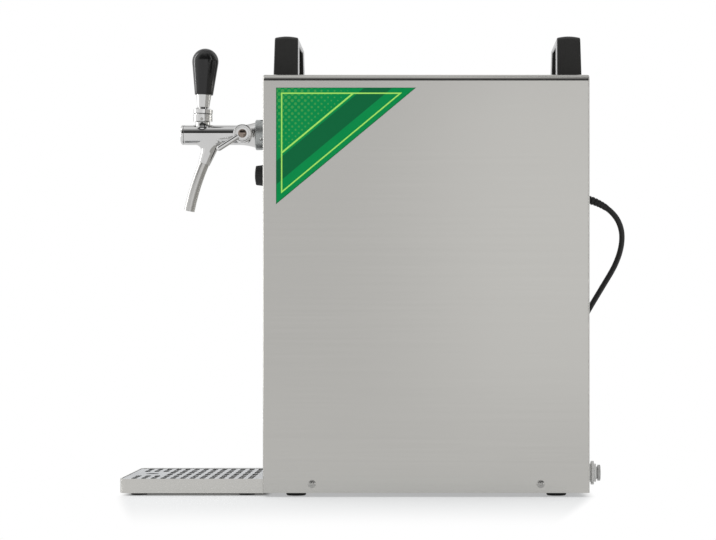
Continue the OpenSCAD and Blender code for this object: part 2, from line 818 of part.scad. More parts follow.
module block_insulation() color([0.95, 0.93, 0.85]) difference() {
  block([-ins_half_w, ins_front, shelf_top], [ins_half_w, ins_rear, ins_top]);
  block([-block_half_w, block_front, block_z0] - foam_gap * [1, 1, 1],
        [block_half_w, block_rear, block_z1] + foam_gap * [1, 1, 1]);
  translate([0, 0, tap_z]) rod_y(hose_d + 2 * foam_gap, ins_front - 1, block_front);
  translate([inlet_x, 0, inlet_block_z]) rod_y(hose_d + 2 * foam_gap, block_rear, ins_rear + 1);
  translate([bulb_x, 0, bulb_z]) rod_y(bulb_d + 2 * foam_gap, ins_front - 1, block_front);
  translate([riser_x, capillary_y, shelf_top - 1])
    cylinder(d = capillary_d + 2 * foam_gap, h = ins_wall + 1);
  translate([riser_x, suction_y, shelf_top - 1])
    cylinder(d = suction_d + 2 * foam_gap, h = ins_wall + 1);
}

module block_shelf() color("lightgray") difference() {
  y0 = front_back + panel_gap;
  y1 = rear_back - panel_gap;
  union() {
    block([-inner_half_w, y0, shelf_z], [inner_half_w, y1, shelf_top]);
    block([-inner_half_w, y0, shelf_z], [inner_half_w, y0 + pan_t, shelf_top + shelf_edge_h]);
    block([-inner_half_w, y1 - pan_t, shelf_z], [inner_half_w, y1, shelf_top + shelf_edge_h]);
  }
  at_front_screws() translate([0, 0, -m4_len - 1]) cylinder(d = m4_hole, h = m4_len + 1);
  at_rear_screws() translate([0, 0, -m4_len - 1]) cylinder(d = m4_hole, h = m4_len + 1);
  translate([riser_x, capillary_y, shelf_z - 1]) cylinder(d = capillary_d + 2, h = pan_t + 2);
  translate([riser_x, suction_y, shelf_z - 1]) cylinder(d = suction_d + 2, h = pan_t + 2);
  translate([inlet_x, inlet_riser_y, shelf_z - 1]) cylinder(d = hose_d + 2, h = pan_t + 2);
}

// Thermostat: switch box, turning shaft, knob and the capillary to the block
module thermostat_body() color("ivory") translate([0, 0, knob_z]) difference() {
  union() {
    block([-thermo_w / 2, front_back + panel_gap, -thermo_h / 2],
          [thermo_w / 2, front_back + panel_gap + thermo_depth, thermo_h / 2]);
    rod_y(bushing_d, front_y - 5, front_back + 1);
  }
  rod_y(shaft_d + 2 * run_clear, front_y - 6, front_back + 16);
}

module thermostat_shaft() color("silver") translate([0, 0, knob_z])
  rod_y(shaft_d, front_y - knob_reach + knob_cover, front_back + 14);

module thermostat_knob() color([0.1, 0.1, 0.1]) translate([0, front_y, knob_z]) rotate([90, 0, 0])
  difference() {
    skirt = 5.6;
    corner = [knob_d / 2 - 1.9, knob_reach - 2.2];
    face_r = 38;
    rotate_extrude() polygon(concat(
      [[0, skirt], [knob_d / 2, skirt], [knob_d / 2, skirt + 1.5]],
      arc(corner, 1.1, 4, 76, 6),
      arc([0, knob_reach - face_r], face_r, 77, 90, 8)
    ));
    translate([-0.8, 3, knob_reach - 1.2]) cube([1.6, knob_d / 2, 2]);
    translate([0, 0, skirt - 1])
      cylinder(d = shaft_d + 2 * run_clear, h = knob_reach - knob_cover + slide_clear - skirt + 1);
  }

module thermostat_capillary() color([0.72, 0.45, 0.2]) {
  y0 = front_back + panel_gap + thermo_depth / 2;
  pipe([[bulb_x, y0, knob_z - thermo_h / 2 - joint_gap], [bulb_x, y0, bulb_z],
        [bulb_x, block_front + 2, bulb_z]], bulb_line_d, 8);
  translate([bulb_x, 0, bulb_z]) rod_y(bulb_d, block_front + 1, block_front + 1 + bulb_l);
}

// Mains connection inside the casing
module terminal_block() color("ivory") {
  z = gland_z - terminal_drop;
  block([gland_x - terminal_half.x, rear_back - panel_gap - 20, z - terminal_half.y],
        [gland_x + terminal_half.x, rear_back - panel_gap, z + terminal_half.y]);
}

module supply_lead() color([0.1, 0.1, 0.1])
  pipe([cord_exit - [0, joint_gap, 0], [gland_x, rear_back - 12, gland_z],
        [gland_x, rear_back - 12, gland_z - terminal_drop + terminal_half.y + joint_gap]], cord_d, 8);

// Beer inlet: push-fit union through the rear panel, its nut, its release collet and the hoses
module inlet_union() color("lightgray") translate([inlet_x, 0, inlet_z]) difference() {
  inside = rear_back - union_inside;
  union() {
    rod_y(inlet_body_d, rear_face, rear_face + union_shoulder + 1);
    rod_y(inlet_flange_d, rear_face + union_shoulder, rear_face + union_shoulder + union_flange_t);
    rod_y(inlet_body_d - 2, rear_face, union_end);
    rod_y(inlet_body_d, union_end - union_rim, union_end);
    rod_y(union_thread_d, inside, rear_face + 1);
    rod_y(line_d, inside - 8, inside + 1);
  }
  rod_y(collet_tail_d + 2 * slide_clear, union_end - collet_seat_l, union_end + 1);
  rod_y(hose_bore, union_end - collet_seat_l - socket_l, union_end);
  rod_y(line_d - 3, inside - 9, union_end);
}

module inlet_nut() color("gainsboro") translate([inlet_x, 0, inlet_z]) difference() {
  y1 = rear_back - joint_gap;
  translate([0, y1 - nut_t, 0]) rotate([-90, 30, 0]) cylinder(d = 27, h = nut_t, $fn = 6);
  rod_y(union_thread_d + 2 * fit_clear, y1 - nut_t - 1, y1 + 1);
}

module inlet_collet() color("white") translate([inlet_x, 0, inlet_z]) difference() {
  end = rear_y + inlet_proud;
  union() {
    rod_y(collet_d, end - collet_t, end);
    rod_y(collet_tail_d, union_end - collet_seat_l + 2.5, end);
  }
  rod_y(hose_bore + 0.2, rear_y, end + 1);
}

module inlet_hose() color([0.85, 0.87, 0.9]) {
  inside = rear_back - union_inside;
  pipe([[inlet_x, inside - joint_gap, inlet_z], [inlet_x, inlet_riser_y, inlet_z],
        [inlet_x, inlet_riser_y, inlet_block_z], [inlet_x, block_rear + joint_gap, inlet_block_z]],
       hose_d, hose_bend, hose_bore);
}

module outlet_hose() color([0.85, 0.87, 0.9]) translate([0, 0, tap_z]) difference() {
  rod_y(hose_d, front_y + barb_start, block_front - joint_gap);
  rod_y(hose_bore, front_y, block_front + 1);
}

// Tap shank through the front panel, with a barb for the hose
barb_start = 22;
barb_l = 14;

module tap_shank() color("silver") tap_frame() difference() {
  union() {
    translate([0, 0, panel_reach]) cylinder(d = neck_flange_d, h = collar_end - panel_reach);
    translate([0, 0, -barb_start]) cylinder(d = shank_d, h = barb_start + 1);
    translate([0, 0, -barb_start - barb_l]) cylinder(d = line_d, h = barb_l + 1);
  }
  translate([0, 0, -barb_start - barb_l - 1]) cylinder(d = shank_bore - 2, h = barb_start + barb_l + 20);
}

module shank_locknut() color("gainsboro") tap_frame() difference() {
  nut_l = 7;
  z0 = panel_reach - sheet_t - joint_gap - nut_l;
  translate([0, 0, z0]) cylinder(d = shank_d * 1.65, h = nut_l, $fn = 6);
  translate([0, 0, z0 - 1]) cylinder(d = shank_d + 2 * fit_clear, h = nut_l + 2);
}

module coupling_ring() color("silver") tap_frame() difference() {
  chamfer = 0.8;
  rotate_extrude() polygon([
    [ring_bore / 2, panel_reach + panel_gap], [ring_d / 2, panel_reach + panel_gap],
    [ring_d / 2, ring_l - chamfer], [ring_d / 2 - chamfer, ring_l],
    [flare_d / 2 + fit_clear, ring_l], [flare_d / 2 + fit_clear, ring_l - ring_lip + gasket_gap],
    [ring_bore / 2, ring_l - ring_lip + gasket_gap]
  ]);
  for (a = [0 : 90 : 270]) rotate(a + ring_turn) translate([0, 0, ring_hole_reach])
    rod_x(ring_hole_d, ring_bore / 2 - 1, ring_d / 2 + 1);
}

// Tap body: barrel and flare turned about the axis, with the compensator boss, lever neck and spout branch
module branch_axis() translate([0, branch_end.y, branch_end.x]) rotate([90 - branch_tilt, 0, 0]) children();

module tap_body() color("silver") tap_frame() difference() {
  r = barrel_d / 2;
  flange_end = ring_l - ring_lip;
  union() {
    rotate_extrude() polygon(concat(
      [[0, collar_end + gasket_gap], [neck_flange_d / 2, collar_end + gasket_gap],
       [neck_flange_d / 2, flange_end], [flare_d / 2, flange_end]],
      [for (i = [0 : 8]) let(s = i / 8)
        [r + (flare_d / 2 - r) * pow(1 - s, 1.7), ring_l + (flare_end - ring_l) * s]],
      [[r, barrel_end], [0, barrel_end]]
    ));
    translate([0, 0, spindle_reach]) rod_x(hub_d - 1, 0, boss_x);
    translate([0, 0, lever_reach]) rotate([-90, 0, 0]) cylinder(d = neck_d, h = neck_top);
    rotate([0, -90, 0]) linear_extrude(web_w, center = true) branch_web();
    branch_axis() translate([0, 0, -branch_l]) cylinder(d1 = branch_d0, d2 = branch_d1, h = branch_l);
  }
  translate([0, 0, -1]) cylinder(d = chamber_d, h = seat_reach + 1);
  cylinder(d = seat_d, h = barrel_end);
  translate([0, 0, seat_reach + seat_l]) cylinder(d = valve_bore, h = barrel_end);
  translate([0, 0, spindle_reach]) rod_x(spindle_d + 2 * run_clear, 0, boss_x + 1);
  translate([0, 0, lever_reach - finger_shift]) rotate([-90, 0, 0])
    cylinder(d = finger_bore, h = neck_top + 1);
  translate([0, pivot_h, lever_reach]) sphere(d = ball_bore_d);
  translate([0, neck_screw_h, lever_reach]) rod_x(neck_screw_d, neck_d / 2 - 1.6, neck_d / 2 + 2);
  branch_axis() translate([0, 0, -spout_seat]) cylinder(d = spout_d + 2 * fit_clear, h = spout_seat + 2);
  branch_axis() translate([0, 0, -branch_l]) cylinder(d = spout_d - 3, h = branch_l);
}

// Side view of the web that blends the spout branch into the barrel
module branch_web() {
  r = barrel_d / 2;
  rear_round = 16;
  front_round = 6;
  across = (branch_d1 / 2) * [cos(branch_tilt), sin(branch_tilt)];
  rear_c = [branch_end.x - 24.9, -r - rear_round + 0.1];
  front_c = [branch_end.x + 9, -r - front_round + 0.1];
  polygon(concat(
    [[rear_c.x, -r / 2]],
    arc(rear_c, rear_round, 90, branch_tilt),
    [branch_end - across, branch_end + across],
    arc(front_c, front_round, 195, 90),
    [[front_c.x, -r / 2]]
  ));
}

module tap_end_cap() color("silver") tap_frame() {
  round = 2.5;
  rotate_extrude() polygon(concat(
    [[0, barrel_end - spigot_l], [valve_bore / 2 - fit_clear, barrel_end - spigot_l],
     [valve_bore / 2 - fit_clear, barrel_end], [barrel_d / 2, barrel_end]],
    arc([barrel_d / 2 - round, tap_reach - round], round, 0, 90, 6),
    [[0, tap_reach]]
  ));
}

// Spout: a straight seat in the branch, then a bend that eases toward the vertical
module tap_spout() color("silver") tap_frame() branch_axis() {
  bore = spout_d - 2 * spout_wall;
  translate([0, 0, -spout_seat + 0.5]) linear_extrude(spout_seat - 0.5) section(spout_d, bore);
  translate([0, -spout_bend, 0]) rotate([90, 0, 90])
    rotate_extrude(angle = branch_tilt - spout_end_tilt) translate([spout_bend, 0]) section(spout_d, bore);
}

// Lever: a dome-topped bonnet on the neck, a cross pin, and the stem that rocks on it
module lever_bonnet() color("silver")
  translate([0, front_y - lever_reach, tap_z + pivot_h]) difference() {
    base = neck_top - pivot_h;
    slot_w = stem_d + 2 * slot_clear;
    reach = 25;
    tilts = [-lever_lean, lever_swing - lever_lean];
    intersection() {
      sphere(dome_r);
      translate([0, 0, base]) cylinder(d = bonnet_d, h = reach);
    }
    rotate_extrude() polygon(concat([[0, base - 1], [ball_bore_d / 2, base - 1]],
                                    arc([0, 0], ball_bore_d / 2, 0, 90, 8)));
    for (a = tilts) rotate([a, 0, 0])
      translate([-slot_w / 2, -slot_w / 2, 0]) cube([slot_w, slot_w, reach]);
    rotate([90, 0, 90]) linear_extrude(slot_w, center = true)
      polygon(concat([[0, 0]], [for (a = tilts) reach * [-sin(a), cos(a)]]));
    rod_x(pin_d + 2 * run_clear, -bonnet_d, bonnet_d);
  }

module lever_pin() color("gainsboro") translate([0, front_y - lever_reach, tap_z + pivot_h])
  rod_x(pin_d, -bonnet_d / 2 + 0.5, bonnet_d / 2 - 0.5);

module lever_stem() color("silver") lever_frame() difference() {
  union() {
    sphere(d = lever_ball_d);
    cylinder(d = stem_d, h = grip_z + 18);
    translate([0, 0, -finger_l]) cylinder(d = finger_d, h = finger_l);
    translate([0, 0, -finger_l]) sphere(d = finger_ball_d);
    difference() {
      rotate_extrude() polygon([
        [0, skirt_z], [bonnet_d / 2, skirt_z], [bonnet_d / 2, skirt_h - 0.5],
        [ferrule_d0 / 2, ferrule_z - joint_gap], [0, ferrule_z - joint_gap]
      ]);
      sphere(skirt_r);
    }
  }
  rod_x(pin_d + 2 * run_clear, -lever_ball_d, lever_ball_d);
}

module handle_ferrule() color("silver") lever_frame() difference() {
  translate([0, 0, ferrule_z]) cylinder(d1 = ferrule_d0, d2 = ferrule_d1, h = ferrule_l);
  cylinder(d = stem_d + 2 * fit_clear, h = grip_z);
}

module handle_grip() color([0.08, 0.08, 0.08]) lever_frame() difference() {
  r = grip_d / 2;
  translate([0, 0, grip_z]) rotate_extrude() polygon(concat(
    [[0, 0], [grip_base_d / 2 - 0.6, 0], [grip_base_d / 2, 0.6]],
    arc([0, grip_l - r], r, -6, 90, 16)
  ));
  translate([0, 0, grip_z - 1]) cylinder(d = stem_d + 2 * fit_clear, h = 20);
}

// Valve: the lever's finger draws the plunger back off its seat
seal_t = 4;
seal_front = seat_reach - slide_clear;
plunger_rod_d = 6;

module valve_plunger() color("gainsboro") tap_frame() difference() {
  guide_d = valve_bore - 2 * slide_clear;
  guide0 = lever_reach - 7;
  guide1 = lever_reach + 9;
  flat = 5.2;
  notch_t = lever_reach + finger_l * sin(lever_lean);
  notch_w = finger_ball_d + 1.2;
  head_t = 1.6;
  union() {
    intersection() {
      translate([0, 0, guide0]) cylinder(d = guide_d, h = guide1 - guide0);
      block([-guide_d, -flat, guide0], [guide_d, flat, guide1]);
    }
    translate([0, 0, seal_front - seal_t - head_t])
      cylinder(d = plunger_rod_d, h = guide0 - seal_front + seal_t + 3);
    translate([0, 0, seal_front - seal_t - joint_gap - head_t])
      cylinder(d = plunger_rod_d + 4, h = head_t);
  }
  block([-guide_d, pivot_h - finger_l - finger_ball_d / 2 - 0.6, notch_t - notch_w / 2],
        [guide_d, guide_d, notch_t + notch_w / 2]);
}

module plunger_seal() color([0.1, 0.1, 0.1])
  tap_frame() translate([0, 0, seal_front - seal_t]) difference() {
    cylinder(d = chamber_d - 1.6, h = seal_t);
    translate([0, 0, -1]) cylinder(d = plunger_rod_d + 2 * fit_clear, h = seal_t + 2);
  }

// Compensator: the side lever's eccentric pin slides the flow cone
module compensator_cone() color("ivory") tap_frame() difference() {
  nose = 8;
  back = spindle_reach - 15.5;
  front = spindle_reach + 3.5;
  rotate_extrude() polygon([
    [0, back], [cone_d / 4, back], [cone_d / 2, back + nose], [cone_d / 2, front], [0, front]
  ]);
  block([cone_flat, -cone_d, back - 1], [cone_d, cone_d, front + 1]);
  block([0.8, -cone_d, spindle_reach - throw_slot / 2], [cone_d, cone_d, spindle_reach + throw_slot / 2]);
}

module compensator_lever() color("silver") tap_frame() translate([0, 0, spindle_reach]) difference() {
  face = hub_x + hub_t;
  union() {
    rod_x(hub_d, hub_x, face);
    rod_x(spindle_d, cone_flat + slide_clear, hub_x + 1);
    translate([0, throw, 0]) rod_x(throw_pin_d, 1.3, cone_flat + 1);
    rotate([comp_lever_drop, 0, 0]) translate([face - 1, 0, 0]) {
      translate([0, 0, comp_screw_d / 2 + 0.8])
        cylinder(d = comp_rod_d, h = comp_lever_l - comp_screw_d / 2 - 3);
      translate([0, 0, comp_lever_l - comp_rod_d / 2]) sphere(d = comp_rod_d);
    }
  }
  rod_x(5 + 2 * fit_clear, face - 8, face + 4);
}

module compensator_screw() color([0.55, 0.5, 0.47]) tap_frame() translate([0, 0, spindle_reach]) {
  face = hub_x + hub_t;
  rod_x(5, face - 7, face + 1);
  difference() {
    rod_x(comp_screw_d, face, face + 2);
    block([face + 1, -0.6, -comp_screw_d], [face + 3, 0.6, comp_screw_d]);
  }
}

// Drip tray and its lift-out grid
module tray_outline(inset) {
  r = tray_corner - inset;
  half = tray_w / 2 - inset;
  y0 = tray_front + inset;
  y1 = tray_rear - inset;
  translate([-half, y0 + r]) square([2 * half, y1 - y0 - r]);
  translate([-half + r, y0]) square([2 * (half - r), y1 - y0]);
  for (s = [-1, 1]) translate([s * (half - r), y0 + r]) circle(r);
}

grid_z = tray_top - grid_drop - grid_t;

module drip_tray() color("silver") {
  translate([0, 0, pad_h]) difference() {
    linear_extrude(tray_top - pad_h) tray_outline(0);
    translate([0, 0, tray_wall]) linear_extrude(tray_top) tray_outline(tray_wall);
  }
  translate([0, 0, grid_z - slide_clear - tray_wall]) linear_extrude(tray_wall) difference() {
    tray_outline(tray_wall / 2);
    tray_outline(tray_wall + tray_ledge);
  }
  both_sides() block([tongue_x - tongue_w / 2, tray_rear - tray_wall / 2, tongue_z],
                     [tongue_x + tongue_w / 2, front_back - panel_gap, tongue_z + tray_wall]);
}

module drip_grid() color("gainsboro") translate([0, 0, grid_z]) linear_extrude(grid_t) difference() {
  tray_outline(tray_wall + grid_gap);
  first = tray_front + (tray_l - slot_pitch * (slot_cols - 1)) / 2 - 0.5;
  for (i = [0 : slot_rows - 1], j = [0 : slot_cols - 1]) {
    middle = abs(i - (slot_rows - 1) / 2) < 1;
    if (!(middle && j < blank_cols))
      translate([(i - (slot_rows - 1) / 2) * slot_row_pitch, first + j * slot_pitch]) slot(slot_l, slot_w);
  }
  translate([0, first + (blank_cols - 1) / 2 * slot_pitch]) circle(d = lift_hole_d);
}

module tray_pads() color("black") both_sides() for (y = [tray_front + pad_inset, tray_rear - pad_inset])
  translate([tray_w / 2 - pad_inset, y, 0]) cylinder(d = pad_d, h = pad_h);

// Cord: gland, free stretch, coil, tie and plug
module cord_gland() color([0.1, 0.1, 0.1]) translate([gland_x, 0, gland_z]) difference() {
  union() {
    rod_y(gland_d, rear_back - 4, rear_face + 1);
    rod_y(gland_d + 4, rear_face, rear_face + 2);
    translate([0, rear_face + 2 - eps, 0]) rotate([-90, 0, 0])
      cylinder(d1 = gland_d, d2 = cord_d + 3, h = gland_proud - 2 + eps);
    rod_y(gland_d + 2, rear_back - 4, rear_back - joint_gap);
  }
  rod_y(cord_d + 2 * slide_clear, rear_back - 5, rear_face + gland_proud + 1);
}

// Points halfway along a smooth curve through a list of points
function halfway(p, i) =
  let(n = len(p) - 1)
  (9 * (p[i] + p[i + 1]) - p[max(i - 1, 0)] - p[min(i + 2, n)]) / 16;
function smoothed(p) = [for (i = [0 : 2 * len(p) - 2]) i % 2 == 0 ? p[i / 2] : halfway(p, (i - 1) / 2)];

// Direction of travel at each point, with the ends square to what they meet
function heading(p, i, first, last) =
  i == 0 ? first : i == len(p) - 1 ? last : unit(p[i + 1] - p[i - 1]);

// A tube swept along points; side is a direction that the route never follows
module swept_tube(p, d, sides, first, last, side) {
  n = len(p);
  rings = [for (i = [0 : n - 1])
    let(t = heading(p, i, first, last), a = unit(cross(side, t)), b = cross(t, a))
    for (k = [0 : sides - 1]) p[i] + d / 2 * (a * cos(360 * k / sides) + b * sin(360 * k / sides))];
  walls = [for (i = [0 : n - 2], k = [0 : sides - 1])
    let(j = (k + 1) % sides, a = i * sides + k, b = i * sides + j, c = a + sides, e = b + sides)
    each [[a, c, b], [b, c, e]]];
  caps = [for (k = [1 : sides - 2]) each [
    [0, k, k + 1], [(n - 1) * sides, (n - 1) * sides + k + 1, (n - 1) * sides + k]]];
  polyhedron(rings, concat(walls, caps));
}

module power_cord() color([0.1, 0.1, 0.1])
  swept_tube(smoothed([for (p = cord_route) cord_exit + p]), cord_d, cord_sides,
             [0, 1, 0], [0, -1, 0], [1, 0, 0]);

// The coil spirals in and out again, and climbs to its upper layer in the half turn where it reverses
coil_mid = coil_turns / 2;
function coil_climb(u) = max(0, min(1, (u - coil_mid + 0.25) / 0.5));
function coil_point(u) =
  let(r = coil_r - coil_step * min(u, coil_turns - u), a = -360 * u)
  coil_c + [r * cos(a), r * sin(a), coil_step * coil_climb(u)];
coil_line = [for (i = [0 : coil_rings * coil_turns]) coil_point(i / coil_rings)];
coil_last = coil_line[len(coil_line) - 1];
coil_path = concat([coil_line[0] + [0, cord_d, 0]], coil_line, [coil_last - [0, coil_tail, 0]]);
coil_near = 18;
coil_spacing = min([for (i = [0 : len(coil_line) - 1 - coil_near])
  min([for (j = [i + coil_near : len(coil_line) - 1]) norm(coil_line[i] - coil_line[j])])]);
function path_length(p, i = 1) =
  i < len(p) ? norm(p[i] - p[i - 1]) + path_length(p, i + 1) : 0;

module cord_coil() color([0.1, 0.1, 0.1])
  swept_tube(coil_path, cord_d, coil_sides, [0, -1, 0], [0, -1, 0], [0, 0, 1]);

module coil_tie() color([0.15, 0.15, 0.15]) {
  r_out = coil_r - coil_step / 4 + cord_d / 2 + tie_gap;
  r_in = coil_r - coil_step * (coil_mid - 0.25) - cord_d / 2 - 3 * tie_gap;
  z0 = coil_c.z - cord_d / 2 - tie_gap;
  z1 = coil_c.z + coil_step + cord_d / 2 + tie_gap;
  difference() {
    block([coil_c.x - tie_w / 2, coil_c.y - r_out - tie_t, z0 - tie_t],
          [coil_c.x + tie_w / 2, coil_c.y - r_in + tie_t, z1 + tie_t]);
    block([coil_c.x - tie_w, coil_c.y - r_out, z0], [coil_c.x + tie_w, coil_c.y - r_in, z1]);
  }
}

module mains_plug() color([0.1, 0.1, 0.1]) {
  start = coil_path[len(coil_path) - 1];
  rounding = 3;
  translate([start.x, start.y, 0]) {
    translate([0, 0, start.z]) rotate([90, 0, 0])
      cylinder(d1 = cord_d + 3, d2 = 2.4 * cord_d, h = plug_relief_l + rounding);
    translate([0, -plug_relief_l - plug_d / 2 + rounding, 0]) {
      rotate_extrude() polygon(concat(
        [[0, plug_base]],
        arc([plug_d / 2 - rounding, plug_base + rounding], rounding, -90, 0, 5),
        [[plug_d / 2, plug_top], [0, plug_top]]
      ));
      both_sides() translate([plug_pin_x, 0, plug_top - 1]) {
        cylinder(d = plug_pin_d, h = plug_pin_l + 1 - plug_pin_d / 2);
        translate([0, 0, plug_pin_l + 1 - plug_pin_d / 2]) sphere(d = plug_pin_d);
      }
    }
  }
}

echo(coil_gap_to_itself = coil_spacing - cord_d);
echo(cord_length = path_length(smoothed(cord_route)) + path_length(coil_path));

base_pan();
front_panel();
rear_panel();
casing_wrap();
sheet_screws();
machine_screws();
rubber_feet();
front_carry_handle();
rear_carry_handle();
side_label();
compressor_shell();
compressor_base();
compressor_grommets();
condenser_fins();
condenser_coil();
fan_shroud();
fan_motor();
fan_rotor();
filter_drier();
discharge_pipe();
capillary_pipe();
suction_pipe();
cooling_block();
block_insulation();
block_shelf();
thermostat_body();
thermostat_shaft();
thermostat_knob();
thermostat_capillary();
terminal_block();
supply_lead();
inlet_union();
inlet_nut();
inlet_collet();
inlet_hose();
outlet_hose();
tap_shank();
shank_locknut();
coupling_ring();
tap_body();
tap_end_cap();
tap_spout();
lever_bonnet();
lever_pin();
lever_stem();
handle_ferrule();
handle_grip();
valve_plunger();
plunger_seal();
compensator_cone();
compensator_lever();
compensator_screw();
drip_tray();
drip_grid();
tray_pads();
cord_gland();
power_cord();
cord_coil();
coil_tie();
mains_plug();
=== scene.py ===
from math import atan, cos, degrees, pi, radians, sin, sqrt
import bpy
import bmesh
from mathutils import Matrix, Vector


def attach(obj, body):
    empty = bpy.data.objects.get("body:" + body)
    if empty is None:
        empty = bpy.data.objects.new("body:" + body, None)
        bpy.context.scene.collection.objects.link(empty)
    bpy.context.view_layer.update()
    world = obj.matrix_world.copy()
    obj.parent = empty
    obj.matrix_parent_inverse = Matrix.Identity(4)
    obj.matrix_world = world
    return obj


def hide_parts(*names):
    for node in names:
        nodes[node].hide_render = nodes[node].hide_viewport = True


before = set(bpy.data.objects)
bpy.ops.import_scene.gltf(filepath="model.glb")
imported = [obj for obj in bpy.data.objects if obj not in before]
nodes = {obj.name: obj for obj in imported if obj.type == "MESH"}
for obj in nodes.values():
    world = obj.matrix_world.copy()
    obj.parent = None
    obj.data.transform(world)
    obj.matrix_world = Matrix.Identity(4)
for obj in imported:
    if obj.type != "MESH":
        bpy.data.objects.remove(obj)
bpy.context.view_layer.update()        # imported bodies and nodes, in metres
scene = bpy.context.scene
scene.view_settings.view_transform = "Standard"
mm = 0.001


# mesh helpers: points are in millimetres of the CAD frame
def linked(name, data):        # a new object in the scene
    piece = bpy.data.objects.new(name, data)
    scene.collection.objects.link(piece)
    return piece


def newMesh(name, points, faces):
    mesh = bpy.data.meshes.new(name)
    mesh.from_pydata([Vector(p) * mm for p in points], [], faces)
    return mesh


def addPiece(name, mesh, material, body, slot, sharpAngle):
    work = bmesh.new()
    work.from_mesh(mesh)
    bmesh.ops.recalc_face_normals(work, faces=work.faces)
    work.to_mesh(mesh)
    work.free()
    mesh.shade_smooth()
    mesh.set_sharp_from_angle(angle=radians(sharpAngle))
    mesh.materials.append(material)
    piece = linked(name, mesh)
    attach(piece, body)
    return piece


def addMesh(name, points, faces, material, body, slot, sharpAngle):
    return addPiece(name, newMesh(name, points, faces), material, body, slot, sharpAngle)


def modifiedMesh(piece):        # a new mesh with the piece's modifiers applied
    bpy.context.view_layer.update()
    return bpy.data.meshes.new_from_object(piece.evaluated_get(bpy.context.evaluated_depsgraph_get()))


def ringQuads(rings, sides):        # faces between closed rings of points
    faces = []
    for i in range(rings - 1):
        for k in range(sides):
            n = (k + 1) % sides
            faces.append((i * sides + k, i * sides + n, (i + 1) * sides + n, (i + 1) * sides + k))
    return faces


def cappedRings(rings, sides):        # the same, closed by a face at each end
    last = (rings - 1) * sides
    return ringQuads(rings, sides) + [tuple(range(sides - 1, -1, -1)), tuple(range(last, last + sides))]


def placed(points, matrix):
    return [matrix @ Vector(p) for p in points]


def turnedRings(profile, sides, matrix=Matrix()):        # (radius, height) points turned about Z, then placed
    points = []
    for radius, height in profile:
        for k in range(sides):
            a = 2 * pi * k / sides
            points.append(Vector((radius * cos(a), radius * sin(a), height)))
    return placed(points, matrix), cappedRings(len(profile), sides)


def joined(parts):        # several (points, faces) as one
    points, faces = [], []
    for somePoints, someFaces in parts:
        start = len(points)
        points += somePoints
        faces += [tuple(i + start for i in f) for f in someFaces]
    return points, faces


def roundArc(centre, radius, fromDegrees, toDegrees, steps):
    turn = [radians(fromDegrees + (toDegrees - fromDegrees) * i / steps) for i in range(steps + 1)]
    return [(centre[0] + radius * cos(a), centre[1] + radius * sin(a)) for a in turn]


def alongAxis(origin, direction):        # matrix that takes Z onto a direction
    turn = Vector((0, 0, 1)).rotation_difference(Vector(direction).normalized())
    return Matrix.Translation(Vector(origin)) @ turn.to_matrix().to_4x4()


# camera: level side view from +X, the tap on the left
shot = {"place": (2.3815, 0.0703, 0.169), "sensor": 36, "lens": 114.386, "shiftX": -0.1006, "shiftY": 0.081}
camera = linked("sideCamera", bpy.data.cameras.new("sideCamera"))
camera.location = shot["place"]
camera.rotation_euler = (pi / 2, 0, pi / 2)
camera.data.sensor_width = shot["sensor"]
camera.data.lens = shot["lens"]
camera.data.shift_x = shot["shiftX"]
camera.data.shift_y = shot["shiftY"]
scene.camera = camera


# node helpers: an input takes a plain value, or a link from another node's output
def feed(tree, socket, value):
    if isinstance(value, bpy.types.NodeSocket):
        tree.links.new(value, socket)
    else:
        socket.default_value = value


def addNode(tree, kind, **values):
    node = tree.nodes.new(kind)
    for key, value in values.items():
        if key in node.inputs:
            feed(tree, node.inputs[key], value)
        else:
            setattr(node, key, value)
    return node


def calculator(tree):        # a function that adds one math node to this tree and gives its result
    def calc(operation, *values, clamp=False):
        node = addNode(tree, "ShaderNodeMath", operation=operation, use_clamp=clamp)
        for socket, value in zip(node.inputs, values):
            feed(tree, socket, value)
        return node.outputs[0]

    return calc


mixSockets = {"FLOAT": (2, 0), "RGBA": (6, 2)}        # Mix node: places of its first value and of its result


def mixed(tree, kind, factor, *pair):
    mix = addNode(tree, "ShaderNodeMix", data_type=kind, Factor=factor)
    first, result = mixSockets[kind]
    for i, value in enumerate(pair):
        feed(tree, mix.inputs[first + i], value)
    return mix.outputs[result]


def objectPlace(tree):
    return addNode(tree, "ShaderNodeTexCoord").outputs["Object"]


def newMaterial(name):
    material = bpy.data.materials.new(name)
    material.use_nodes = True
    return material, material.node_tree, material.node_tree.nodes["Principled BSDF"]


# grain shared by the finishes: fine and middle noise stretched along one axis, and a broad cloud
grainNoise = {"roughness": 0.6, "middleDetail": 2.0, "middleScale": 0.21, "cloudDetail": 3.0,
              "cloudRoughness": 0.55}


def newGroup(name, inputs, outputs):
    tree = bpy.data.node_groups.new(name, "ShaderNodeTree")
    for socketName, kind, value in inputs:
        socket = tree.interface.new_socket(socketName, in_out="INPUT", socket_type=kind)
        socket.default_value = value
    for socketName, kind in outputs:
        tree.interface.new_socket(socketName, in_out="OUTPUT", socket_type=kind)
    return tree, tree.nodes.new("NodeGroupInput"), tree.nodes.new("NodeGroupOutput")


def centredNoise(tree, vector, scale, detail, rough):        # noise about zero
    noise = addNode(tree, "ShaderNodeTexNoise", Vector=vector, Scale=scale, Detail=detail, Roughness=rough)
    return calculator(tree)("SUBTRACT", noise.outputs[0], 0.5)


